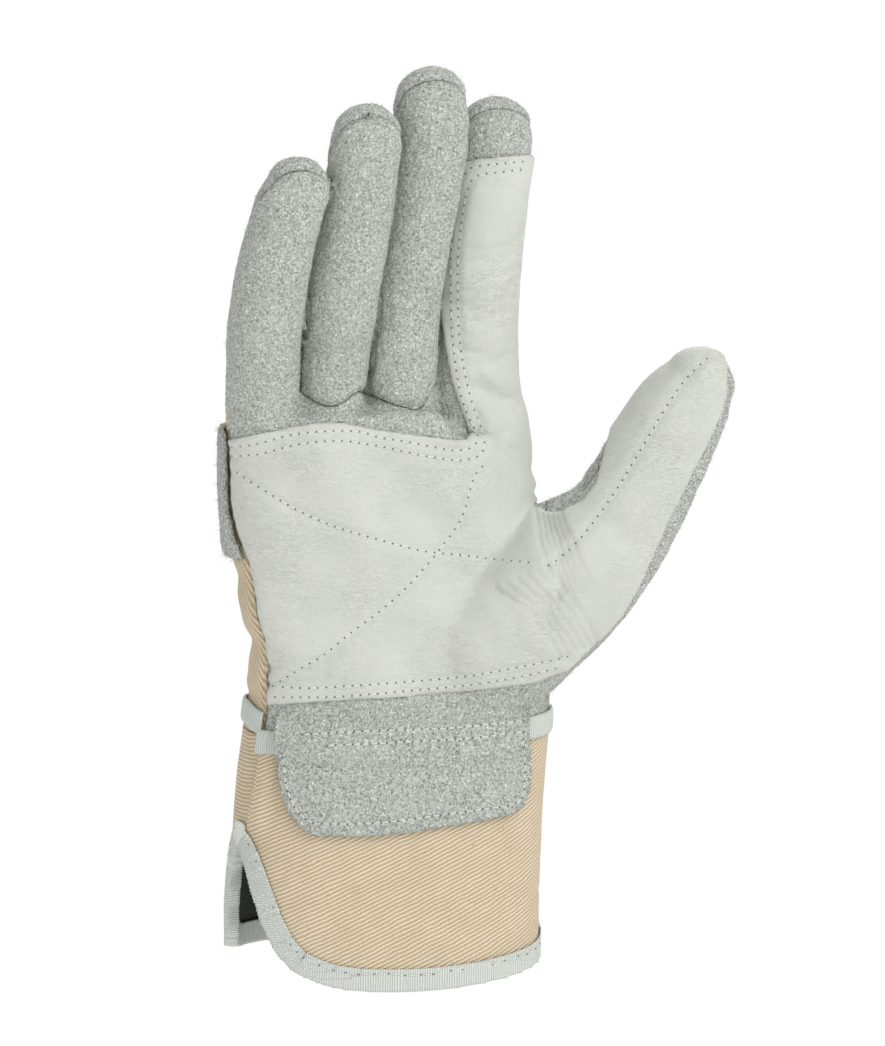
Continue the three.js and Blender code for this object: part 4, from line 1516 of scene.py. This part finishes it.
@dataclass(frozen=True)
class PalmPatch:
    """The white leather over the palm, the index finger and the thumb, with its rows of stitches."""

    voxel: float = 0.72
    lift: float = 0.4
    wall: float = 1.1
    setback: float = 1.3
    sunk: float = 0.3
    stop: float = 3
    wander: Lump = (3.4, 7, 11)
    outline: Pixels = (
        (200, 447), (232, 440), (270, 432), (320, 424), (345, 424), (375, 430), (420, 436), (455, 440),
        (464, 441), (470, 437), (468, 428), (460, 405), (452, 380), (446, 345), (443, 310), (443, 250),
        (450, 200), (455, 180), (459, 170), (466, 165), (480, 162), (530, 157), (560, 155), (556, 300),
        (545, 420), (537, 470), (531, 492), (537, 507), (550, 512), (565, 511), (583, 501), (596, 484),
        (602, 465), (609, 442), (614, 425), (618, 400), (640, 365), (680, 335), (712, 346), (721, 359),
        (724, 372), (723, 395), (717, 416), (704, 445), (692, 468), (681, 491), (665, 522), (650, 557),
        (635, 588), (619, 615), (600, 636), (581, 653), (566, 668), (532, 681), (481, 688), (404, 696),
        (328, 700), (267, 704), (200, 706),
    )
    fans: tuple[CreaseFan, ...] = (
        CreaseFan(((474, 372), (500, 395), (526, 430)), ((476, 425), (505, 452), (536, 486)), 8, 0.448),
        CreaseFan(((538, 500), (540, 545), (560, 600)), ((560, 505), (572, 548), (590, 585)), 6, 0.672),
        CreaseFan(((500, 590), (530, 610), (560, 655)), ((545, 565), (572, 600), (596, 640)), 6, 0.56),
        CreaseFan(((272, 650), (300, 652), (350, 640)), ((272, 682), (310, 680), (350, 668)), 6, 0.448),
        CreaseFan(((240, 520), (262, 530), (290, 528)), ((256, 640), (280, 630), (310, 640)), 7, 0.28),
        CreaseFan(((455, 245), (480, 252), (520, 240)), ((452, 360), (480, 366), (514, 350)), 9, 0.252),
        CreaseFan(((380, 600), (420, 590), (470, 580)), ((390, 680), (440, 660), (500, 640)), 8, 0.224),
    )
    rows: tuple[Pixels, ...] = (
        ((234, 448), (259, 445), (288, 437), (315, 433), (343, 432), (363, 433), (379, 438), (404, 442),
         (430, 447), (447, 450), (456, 451), (465, 450), (473, 447), (478, 437), (471, 423), (465, 409),
         (459, 388), (453, 345), (451, 310), (451, 255), (457, 205), (464, 180), (470, 172), (484, 169),
         (522, 165)),
        ((234, 457), (261, 455), (288, 448), (315, 443), (345, 442), (368, 445), (386, 448), (417, 455),
         (441, 459), (458, 461), (467, 460), (477, 457), (484, 448), (482, 432), (476, 415), (471, 400),
         (466, 380), (460, 345), (458, 310), (458, 258), (464, 208), (470, 187), (476, 180), (488, 177),
         (520, 173)),
        ((239, 473), (254, 483), (276, 497), (302, 512), (340, 528), (381, 540), (419, 550), (440, 553),
         (463, 555), (486, 558), (528, 562)),
        ((274, 685), (299, 669), (325, 654), (349, 634), (376, 614), (403, 591), (424, 568), (440, 549),
         (461, 519), (469, 494), (474, 477), (482, 467)),
        ((548, 565), (557, 559), (578, 540), (597, 516), (617, 487), (637, 454), (652, 429), (667, 404),
         (685, 379), (705, 360)),
        ((284, 686), (312, 687), (363, 684), (419, 680), (470, 675), (504, 669), (546, 661),
         (567, 656)),
        ((276, 696), (328, 696), (373, 693), (419, 689), (470, 684), (514, 677), (555, 668)),
    )

    def build(self, skin: HandSkin, finishes: Finishes) -> None:
        """Cuts the patch out of the hand's skin and sews it on."""
        sheet = skin.surface(self.voxel)
        cut_along(sheet, self.level)
        patch = kept_where(sheet, self.level(centres_of(sheet)) < 0)
        sheet.free()
        self.drop_crumbs(patch)
        self.shape(patch)
        patch.normal_update()
        Sewing().sew("palm_patch", BVHTree.FromBMesh(patch), self.rows, finishes)
        piece = sheet_object(patch, "palm_patch_leather", finishes.leather)
        thicken(piece, self.wall)
        settle(piece, "palm_patch")

    def level(self, points: np.ndarray) -> np.ndarray:
        """Gives the level that is negative inside the patch's outline, on the front of the seams."""
        thumb = HAND.thumb_side(points) > 0
        seam = HAND.behind_hand_seam(points)
        others = np.where(thumb, -FAR, -HAND.border(MIDDLE, INDEX, points) + 0.6)
        others = np.where(points[:, 2] > 99, others, -FAR)
        inside = outline_distance(PHOTO.seen(points), self.outline, closed=True)
        inside = np.where(thumb, np.maximum(inside, HAND.behind_thumb_seam(points) - self.stop), inside)
        return np.maximum.reduce([inside, np.where(thumb, -FAR, seam + self.setback), others])

    def drop_crumbs(self, patch: BMesh) -> None:
        """Drops loose scraps and keeps the largest piece."""
        left = set(patch.verts)
        islands: list[set] = []
        while left:
            island, edge = set(), [left.pop()]
            while edge:
                vert = edge.pop()
                island.add(vert)
                fresh = [link.other_vert(vert) for link in vert.link_edges]
                fresh = [other for other in fresh if other in left]
                left.difference_update(fresh)
                edge.extend(fresh)
            islands.append(island)
        largest = max(islands, key=len)
        loose = [vert for island in islands if island is not largest for vert in island]
        bmesh.ops.delete(patch, geom=loose, context="VERTS")

    def shape(self, patch: BMesh) -> None:
        """Lifts the patch off the palm, turns its edge down and draws it in along the stitches."""
        points, normals = points_of(patch), normals_of(patch)
        pixels = PHOTO.seen(points)
        edge = distance_to(points, rim_points(patch))
        rise = self.lift + self.wall - 0.75 * bell(edge, 0.55)
        rows = np.min([outline_distance(pixels, row) for row in self.rows], axis=0)
        facing = smoothstep(-normals @ PHOTO.ahead, 0.05, 0.3)
        # The leather puckers beside its stitches, and its creases wander.
        rise -= facing * self.sunk * bell(rows, 1.2)
        rise += 0.1 * facing * bell(rows - 2.2) * (1 + 1.2 * noise(points, 2.4, 9))
        wandered = pixels + unevenness(points, [self.wander])[:, None]
        for fan in self.fans:
            rise -= facing * fan.depth_at(wandered)
        place(patch, points + normals * rise[:, None])


@dataclass(frozen=True)
class KnuckleStrap:
    """The suede strap across the knuckles, of which the photograph shows the outer end."""

    low: float = 52
    high: float = 90
    right_end: float = 33
    lift: float = 0.5
    wall: float = 1.4
    overhang: float = 0.9
    margin: float = 4
    low_end: float = -46
    seam_cover: float = 0.6
    overhang_zone: tuple[float, float] = (-50, -38)
    rough: tuple[Lump, ...] = ((0.12, 2.2, 21),)
    ragged: tuple[Lump, ...] = ((0.35, 2.0, 22),)

    def build(self, skin: HandSkin, finishes: Finishes) -> None:
        """Cuts the strap out of the hand's skin, behind the palm's edge."""
        sheet = skin.surface(skin.voxel)
        cut_along(sheet, self.level)
        strap = kept_where(sheet, self.level(centres_of(sheet)) < 0)
        sheet.free()
        points, normals = points_of(strap), normals_of(strap)
        outer = 1 - smoothstep(points[:, 0], *self.overhang_zone)
        rise = self.lift + self.wall + outer * self.overhang + unevenness(points, self.rough)
        edge = distance_to(points, rim_points(strap))
        rise -= 0.5 * bell(edge, 0.7)
        place(strap, points + normals * rise[:, None])
        strap.normal_update()
        Sewing().stitch("knuckle_strap", self.rows(BVHTree.FromBMesh(strap)), finishes)
        Nap(low=0.6, high=1.6).grow("knuckle_strap_fibres", strap, 1100, rim_points(strap)[::2] * 2,
                                    finishes.suede, 31)
        piece = sheet_object(strap, "knuckle_strap_suede", finishes.suede)
        thicken(piece, self.wall)
        settle(piece, "knuckle_strap")

    def rows(self, surface: BVHTree) -> list[list]:
        """Finds the places of the two rows that sew the strap down, seen from behind the hand."""
        stops = np.arange(self.low_end, self.right_end - self.margin, Sewing.pitch) * MM
        found = []
        for height in (self.low + self.margin, self.high - self.margin):
            row = []
            for stop in stops:
                start = Vector((stop, FAR * MM, height * MM))
                spot, normal, _, _ = surface.ray_cast(start, Vector((0, -1, 0)))
                row.append((spot, normal) if spot else None)
            found.append(row)
        return found

    def level(self, points: np.ndarray) -> np.ndarray:
        """Gives the level that is negative within the strap."""
        x, _, z = points.T
        seam = -self.seam_cover - HAND.behind_hand_seam(points)
        edges = np.maximum.reduce([self.low - z, z - self.high, x - self.right_end, seam])
        return edges + unevenness(points, self.ragged)


@dataclass(frozen=True)
class Cuff:
    """The cuff of drill with its lining, its slit at the little finger's side and its ribbed binding."""

    top: float = -0.3
    drill_wall: float = 1.2
    lining_gap: float = 1.5
    lining_wall: float = 1.0
    binding: float = 7
    step: float = 0.75
    twill_slope: float = 25.0
    back_slope: float = 4.0
    corner: float = 12.0
    trim: float = 1.1
    stitch: float = 4.4
    stitch_in: float = 1.5
    leaf_lift: float = 0.8
    tape_wall: float = 0.4
    hem_share: float = 0.895
    hem_drop: float = 0.105
    hem_round: float = 0.6
    slit_scale: float = 0.93
    uneven: tuple[Lump, ...] = ((0.35, 17, 41), (0.1, 6, 42))
    dart: tuple[float, float] = (-50, 0.3)
    overlap_rise: float = 1.5
    overlap_dip: float = 0.6
    overlap_start: tuple[float, float] = (745, 753)
    overlap_end: tuple[float, float] = (815, 845)
    overlap: Pixels = ((266, 725), (262, 750), (258, 775), (252, 809), (248, 830), (246, 1050))
    slit_front: tuple[tuple[float, float], ...] = (
        (-0.53, -0.355), (-0.515, -0.48), (-0.495, -0.6), (-0.47, -0.72), (-0.437, -0.82),
        (-0.4, -0.91), (-0.345, -0.97), (-0.29, -1.0), (-0.2, -1.04),
    )
    slit_back: tuple[tuple[float, float], ...] = (
        (-0.4, -0.35), (-0.16, -0.43), (0.0, -0.55), (0.05, -0.7), (0.07, -1.2),
    )

    def level(self, points: np.ndarray) -> np.ndarray:
        """Gives the level that is positive on the cloth, about in millimetres from its edge."""
        x, y, z = HAND.body_point(body_angle(points), points[:, 2], 0.0).T
        front = np.array(self.slit_front) * (HAND.palm_width, HAND.cuff_length)
        back = np.array(self.slit_back) * (HAND.palm_depth, HAND.cuff_length)
        front_x = np.interp(-z, -front[:, 1], front[:, 0])
        back_y = np.interp(-z, -back[:, 1], back[:, 0])
        slit = np.maximum(x - front_x, y - back_y)
        slit = np.where(z > front[0, 1], FAR, slit)
        angle = np.arctan2(y, x)
        lift = np.maximum(-np.sin(angle), 0) ** self.hem_round
        hem = z + HAND.cuff_length * (self.hem_share + self.hem_drop * lift)
        slit = slit * self.slit_scale
        near = np.maximum(self.corner - np.abs(slit - hem), 0) / self.corner
        return np.minimum(slit, hem) - near * near * self.corner / 4

    def sheet(self, offset: float, top: float, trim: float = 0.0) -> BMesh:
        """Makes the cuff's cloth at an offset from the outer face, cut at the slit and the hem.

        Args:
            offset: How far the cloth stands out of the cuff's outer face.
            top: The height of its upper edge.
            trim: How far it is cut back from the slit and the hem.

        Returns:
            The cloth.
        """
        angle = np.linspace(0, 2 * np.pi, int(245 / self.step), endpoint=False)[None, :]
        heights = np.linspace(top, -80, int(80 / self.step))[:, None]
        points = HAND.body_point(angle, heights + 0 * angle, offset)
        cloth = grid_surface(points, round_about=True)
        bmesh.ops.recalc_face_normals(cloth, faces=cloth.faces)
        cut_along(cloth, lambda q: self.level(q) - trim)
        kept = kept_where(cloth, self.level(centres_of(cloth)) > trim)
        cloth.free()
        return kept

    def build(self, finishes: Finishes) -> None:
        """Makes the shell, the lining and the binding."""
        shell = self.sheet(0.0, self.top, self.trim)
        points = points_of(shell)
        self.crumple(shell)
        middles = PHOTO.seen(centres_of(shell))
        behind = (self.past_overlap(middles) < 0) | (centres_of(shell)[:, 1] > 0)
        slopes = np.where(behind, self.back_slope, self.twill_slope)
        map_weave(shell, angle_run(points), points[:, 2], slopes)
        piece = sheet_object(shell, "cuff_shell_drill", finishes.drill)
        thicken(piece, self.drill_wall)
        settle(piece, "cuff_shell")
        lining = self.sheet(-self.lining_gap, self.top - 1, self.trim)
        self.crumple(lining)
        points = points_of(lining)
        map_weave(lining, angle_run(points), points[:, 2], -self.twill_slope)
        piece = sheet_object(lining, "cuff_lining_twill", finishes.lining)
        thicken(piece, self.lining_wall)
        settle(piece, "cuff_lining")
        self.bind(finishes)

    def past_overlap(self, pixels: np.ndarray) -> np.ndarray:
        """Says how far pixels lie to the right of the front cloth's folded edge, in millimetres."""
        line = np.array(self.overlap)
        return (pixels[:, 0] - np.interp(pixels[:, 1], line[:, 1], line[:, 0])) / PHOTO.pixels_per_mm

    def crumple(self, cloth: BMesh) -> None:
        """Gives the cloth the slight unevenness of a stiff cuff, and lays its front over its back."""
        normals = body_normal(points_of(cloth))
        points = HAND.body_point(body_angle(points_of(cloth)), points_of(cloth)[:, 2], 0.0)
        shift = unevenness(points, self.uneven)
        front = points[:, 1] < 2
        dart_up, dart_depth = self.dart
        shift -= dart_depth * bell(points[:, 2] - dart_up) * front
        pixels = PHOTO.seen(points)
        past = self.past_overlap(pixels)
        step = self.overlap_rise * smoothstep(past, -0.4, 0.4) * (1 - smoothstep(past, 2.5, 7))
        step -= self.overlap_dip * bell(past + 0.9, 0.8)
        down = pixels[:, 1]
        shown = smoothstep(down, *self.overlap_start) * (1 - smoothstep(down, *self.overlap_end))
        shift += step * front * shown
        place(cloth, points_of(cloth) + normals * (shift * smoothstep(-points[:, 2], 0, 8))[:, None])

    def flat(self, points: np.ndarray) -> np.ndarray:
        """Lays points of the cuff out flat, as its run round the body and its height."""
        return np.stack([angle_run(points), points[:, 2], 0 * points[:, 2]], axis=-1)

    def rim(self) -> np.ndarray:
        """Gives the cloth's cut edge as a chain of points in order, laid out flat."""
        cloth = self.sheet(0.0, self.top)
        low = [vert for vert in cloth.verts if vert.is_boundary and vert.co.z < (self.top - 2) * MM]
        chain = [max(low, key=lambda vert: vert.co.y - vert.co.z)]
        seen = set(chain)
        while True:
            ends = [edge.other_vert(chain[-1]) for edge in chain[-1].link_edges if edge.is_boundary]
            fresh = [vert for vert in ends if vert not in seen]
            if not fresh:
                break
            chain.append(fresh[0])
            seen.add(fresh[0])
        places = np.array([vert.co[:] for vert in chain]) / MM
        cloth.free()
        return self.flat(places)

    def bind(self, finishes: Finishes) -> None:
        """Folds the ribbed binding over the cloth's edge and sews it down."""
        rim = self.rim()
        lap = angle_run(np.array([[45.0, -0.01, -40.0]]))[0]
        runs = np.concatenate([[0], np.cumsum(np.linalg.norm(np.diff(rim, axis=0), axis=1) % (lap / 2))])
        tree = KDTree(3 * len(rim))
        for shift in (-1, 0, 1):
            for i, corner in enumerate(rim):
                tree.insert(corner + (shift * lap, 0, 0), i)
        tree.balance()

        def measured(points: np.ndarray) -> np.ndarray:
            """Gives the place along the rim and the distance from it."""
            found = [tree.find(point) for point in self.flat(points)]
            return np.array([(runs[i], away) for _, i, away in found])

        inner = -self.lining_gap - self.lining_wall - self.leaf_lift
        leaves = [self.leaf(offset, measured) for offset in (self.leaf_lift, inner)]
        self.sew_down(leaves[0], measured, finishes)
        whole = joined(leaves)
        self.close_fold(whole)
        places = points_of(whole)
        spots = measured(places)
        self.crumple(whole)
        map_weave(whole, spots[:, 0], spots[:, 1], -90.0)
        piece = sheet_object(whole, "hem_binding_tape", finishes.tape)
        thicken(piece, self.tape_wall)
        settle(piece, "hem_binding")

    def leaf(self, offset: float, measured: Measure) -> BMesh:
        """Makes one leaf of the binding, on the outside or the inside of the cloth."""
        sheet = self.sheet(offset, self.top)

        def within(points: np.ndarray) -> np.ndarray:
            """Says how far points lie within the binding's width."""
            return self.binding - measured(points)[:, 1]

        cut_along(sheet, within)
        kept = kept_where(sheet, within(centres_of(sheet)) > 0)
        sheet.free()
        if offset < 0:
            bmesh.ops.reverse_faces(kept, faces=kept.faces)
        return kept

    def sew_down(self, leaf: BMesh, measured: Measure, finishes: Finishes) -> None:
        """Sews the binding along its inner edge."""
        points = points_of(leaf)
        spots = measured(points)
        count = int(spots[:, 0].max() / self.stitch)
        run = []
        for stop in np.linspace(0, spots[:, 0].max(), count):
            off_line = np.abs(spots[:, 1] - self.binding + self.stitch_in)
            k = int(np.argmin(np.abs(spots[:, 0] - stop) + 3 * off_line))
            leaf.verts.ensure_lookup_table()
            vert = leaf.verts[k]
            run.append((vert.co + vert.normal * 0.05 * MM, vert.normal.copy()))
        sewing = Sewing(pitch=self.stitch, thread_radius=0.14, hole_radius=0.3, gap=1.2)
        sewing.stitch("hem_binding", [run], finishes)

    def close_fold(self, whole: BMesh) -> None:
        """Bridges the two leaves of the binding round the cloth's edge, and rounds the fold."""
        edges = [edge for edge in whole.edges if edge.is_boundary]
        middles = np.array([((edge.verts[0].co + edge.verts[1].co) / 2)[:] for edge in edges]) / MM
        outer_edge = [edge for edge, level in zip(edges, self.level(middles)) if abs(level) < 0.5]
        spans = bmesh.ops.bridge_loops(whole, edges=outer_edge)["edges"]
        fresh = bmesh.ops.subdivide_edges(whole, edges=spans, cuts=5, use_grid_fill=True)["geom_inner"]
        fold = {item for item in fresh if isinstance(item, bmesh.types.BMVert)}
        fold |= {vert for edge in outer_edge if edge.is_valid for vert in edge.verts}
        even_out(whole, list(fold), 10)


@dataclass(frozen=True)
class WristTape:
    """The two lengths of ribbed tape over the wrist's seam."""

    half: float = 3.5
    wall: float = 0.8
    lift: float = 0.35
    over: float = 0.45
    over_run: float = 0.06
    front: tuple[tuple[float, float], ...] = (
        (1.12, -1.9), (1.3, -1.4), (1.6, -0.9), (1.9, 0.4), (1.97, 0.8),
    )
    back: tuple[tuple[float, float], ...] = (
        (0.02, 0.8), (0.2, 1.4), (0.5, 2.8), (0.8, 4.2), (0.95, 5.2), (1.02, 5.2), (1.13, 3.2),
    )

    def build(self, finishes: Finishes) -> None:
        """Makes the front length and the slanted back one."""
        self.length("wrist_tape_back", self.back, 0.0, finishes)
        self.length("wrist_tape_front", self.front, self.over, finishes)

    def length(
        self, name: str, course: Sequence[tuple[float, float]], over: float, finishes: Finishes
    ) -> None:
        """Makes one length of tape.

        Args:
            name: The name of the solid that it replaces.
            course: Its turns round the body, in half circles, and its middle's height at each.
            over: How far its first end lies over the other length.
            finishes: The finishes of the glove.
        """
        turns, heights = np.array(course).T
        angle = np.linspace(turns[0], turns[-1], 170)[None, :]
        share = np.linspace(-1, 1, 11)[:, None]
        middle = np.interp(angle, turns, heights)
        bulge = self.lift + self.wall * (1 - 0.5 * share ** 6) + over * (angle < turns[0] + self.over_run)
        points = HAND.body_point(angle * math.pi + 0 * share, middle + share * self.half, bulge)
        tape = grid_surface(points)
        turn_outwards(tape)
        places = points_of(tape)
        map_weave(tape, angle_run(places), places[:, 2], -90.0)
        piece = sheet_object(tape, f"{name}_ribbed", finishes.tape)
        thicken(piece, self.wall * 0.8)
        settle(piece, name)


def turn_outwards(sheet: BMesh) -> None:
    """Flips a sheet whose faces look at the body's middle line."""
    looks = sum(face.normal.x * face.calc_center_median().x + face.normal.y * face.calc_center_median().y
                for face in sheet.faces)
    if looks < 0:
        bmesh.ops.reverse_faces(sheet, faces=sheet.faces)


@dataclass(frozen=True)
class PulsePatch:
    """The suede patch over the pulse, sewn on at the wrist with a row of stitches round its edge."""

    wall: float = 1.4
    lift: float = 0.35
    step: float = 0.8
    turns: tuple[float, float] = (1.02, 1.985)
    run: float = 115
    heights: tuple[float, float] = (13, -36)
    tape_rise: float = 1.25
    tape_zone: tuple[float, float] = (-10, -5)
    dive: float = 3.0
    dive_zone: tuple[float, float] = (1.5, 8)
    rough: tuple[Lump, ...] = ((0.12, 1.9, 52), (0.2, 9, 53))
    outline: Pixels = (
        (279, 712), (276, 735), (278, 756), (282, 790), (290, 810), (302, 825), (316, 833), (345, 834),
        (379, 833), (418, 829), (454, 823), (491, 817), (513, 812), (523, 805), (529, 790), (530, 761),
        (528, 734), (529, 686), (500, 678), (469, 681), (420, 687), (373, 690), (330, 694), (290, 697),
    )
    rows: tuple[Pixels, ...] = (
        ((284, 756), (287, 783), (294, 803), (305, 816), (320, 822), (380, 821), (446, 813), (500, 806),
         (515, 803), (523, 794), (525, 770), (523, 738)),
        ((304, 733), (380, 729), (450, 727), (523, 720)),
        ((328, 744), (400, 741), (470, 737), (523, 731)),
    )

    def build(self, finishes: Finishes) -> None:
        """Cuts the patch to its outline, lays it over the tape, tucks its top in and sews it on."""
        start, end = self.turns
        top, bottom = self.heights
        angle = np.linspace(start * math.pi, end * math.pi, int(self.run / self.step))[None, :]
        heights = np.linspace(top, bottom, int((top - bottom) / self.step))[:, None]
        over_tape = smoothstep(heights, *self.tape_zone) * self.tape_rise
        tucked = smoothstep(heights, *self.dive_zone) * self.dive
        offset = self.lift + self.wall + over_tape - tucked + 0 * angle
        points = HAND.body_point(angle + 0 * heights, heights + 0 * angle, offset)
        sheet = grid_surface(points)
        turn_outwards(sheet)
        cut_along(sheet, self.level)
        patch = kept_where(sheet, self.level(centres_of(sheet)) < 0)
        sheet.free()
        self.shape(patch)
        patch.normal_update()
        turn_outwards(patch)
        sewing = Sewing(thread_radius=0.22, hole_radius=0.38)
        sewing.sew("pulse_patch", BVHTree.FromBMesh(patch), self.rows, finishes)
        Nap().grow("pulse_patch_fibres", patch, 1500, rim_points(patch)[::2], finishes.suede, 51)
        piece = sheet_object(patch, "pulse_patch_suede", finishes.suede)
        thicken(piece, self.wall)
        settle(piece, "pulse_patch")

    def level(self, points: np.ndarray) -> np.ndarray:
        """Gives the level that is negative inside the outline."""
        return outline_distance(PHOTO.seen(points), self.outline, closed=True)

    def shape(self, patch: BMesh) -> None:
        """Sinks the stitches, turns the edge down and roughens the suede."""
        points, normals = points_of(patch), normals_of(patch)
        rows = np.min([outline_distance(PHOTO.seen(points), row) for row in self.rows], axis=0)
        rise = unevenness(points, self.rough)
        rise -= 0.4 * bell(rows, 0.9)
        rise -= 0.5 * bell(distance_to(points, rim_points(patch)), 0.6)
        place(patch, points + normals * rise[:, None])


@dataclass(frozen=True)
class Lamp:
    """A soft square light: its place and size in metres and its power in watts."""

    name: str
    spot: tuple[float, float, float]
    size: float
    power: float

    def hang(self, aim: Vector) -> Object:
        """Hangs the light in its place, looking at a point."""
        data = bpy.data.lights.new(self.name, "AREA")
        data.energy = self.power
        data.size = self.size
        lamp = bpy.data.objects.new(self.name, data)
        lamp.location = self.spot
        lamp.rotation_euler = (aim - Vector(self.spot)).to_track_quat("-Z", "Y").to_euler()
        bpy.context.scene.collection.objects.link(lamp)
        return lamp


@dataclass(frozen=True)
class Studio:
    """A pale floor far below the glove, soft lights, white air and the photograph's camera."""

    floor: float = -0.24
    floor_reach: float = 6
    air: float = 0.55
    aim: tuple[float, float, float] = (0, 0, 0.06)
    sensor: float = 24
    sight: float = 30
    lamps: tuple[Lamp, ...] = (
        Lamp("key", (0.9, -1.1, 1.2), 0.9, 15.0),
        Lamp("low", (0.6, -1.5, -0.1), 1.2, 6.0),
        Lamp("fill", (-1.2, -1.1, 0.3), 1.4, 4.0),
        Lamp("rim", (0.2, 1.2, 1.0), 0.9, 9.0),
    )

    def build(self) -> None:
        """Makes the floor, the lights, the world and the camera."""
        scene = bpy.context.scene
        scene.view_settings.view_transform = "Standard"
        paper, tree = new_material("paper")
        shader = add_node(tree, "ShaderNodeEmission", {"Color": (1.0, 1.0, 1.0, 1.0), "Strength": 1.0})
        add_node(tree, "ShaderNodeOutputMaterial", {"Surface": shader.outputs[0]})
        mesh = bmesh.new()
        bmesh.ops.create_grid(mesh, x_segments=1, y_segments=1, size=self.floor_reach)
        floor = sheet_object(mesh, "studio_floor", paper)
        floor.location.z = self.floor
        world = bpy.data.worlds.new("studio_air")
        world.use_nodes = True
        air = world.node_tree
        seen = add_node(air, "ShaderNodeLightPath", {}).outputs["Is Camera Ray"]
        strength = reckoned(air, "MULTIPLY_ADD", seen, 1 - self.air, self.air)
        air.links.new(strength, air.nodes["Background"].inputs["Strength"])
        air.nodes["Background"].inputs["Color"].default_value = (1.0, 1.0, 1.0, 1.0)
        scene.world = world
        lights = [lamp.hang(Vector(self.aim)) for lamp in self.lamps]
        self.camera()

    def camera(self) -> Object:
        """Makes the camera that the photograph was taken with."""
        data = bpy.data.cameras.new("photo_camera")
        across = (PHOTO.width / 2 - PHOTO.wrist_u) / PHOTO.pixels_per_mm
        high = (PHOTO.wrist_v - PHOTO.height / 2) / PHOTO.pixels_per_mm
        target = across * np.array(PHOTO.right) + high * np.array(PHOTO.up)
        data.sensor_fit = "VERTICAL"
        data.sensor_height = self.sensor
        data.lens = data.sensor_height * PHOTO.distance * PHOTO.pixels_per_mm / PHOTO.height
        data.clip_end = self.sight
        camera = bpy.data.objects.new("photo_camera", data)
        turn = Matrix((PHOTO.right, PHOTO.up, tuple(-PHOTO.ahead))).transposed()
        spot = (target - PHOTO.ahead * PHOTO.distance) * MM
        camera.matrix_world = Matrix.Translation(spot) @ turn.to_4x4()
        bpy.context.scene.collection.objects.link(camera)
        bpy.context.scene.camera = camera
        return camera


def main() -> None:
    """Builds the glove and its studio on the frame."""
    logging.basicConfig(level=logging.INFO, format="%(message)s")
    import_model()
    finishes = Finishes()
    skin = HandSkin()
    HandPanels(skin, finishes).build()
    PalmPatch().build(skin, finishes)
    KnuckleStrap().build(skin, finishes)
    Cuff().build(finishes)
    WristTape().build(finishes)
    PulsePatch().build(finishes)
    Studio().build()


if __name__ == "__main__":
    main()
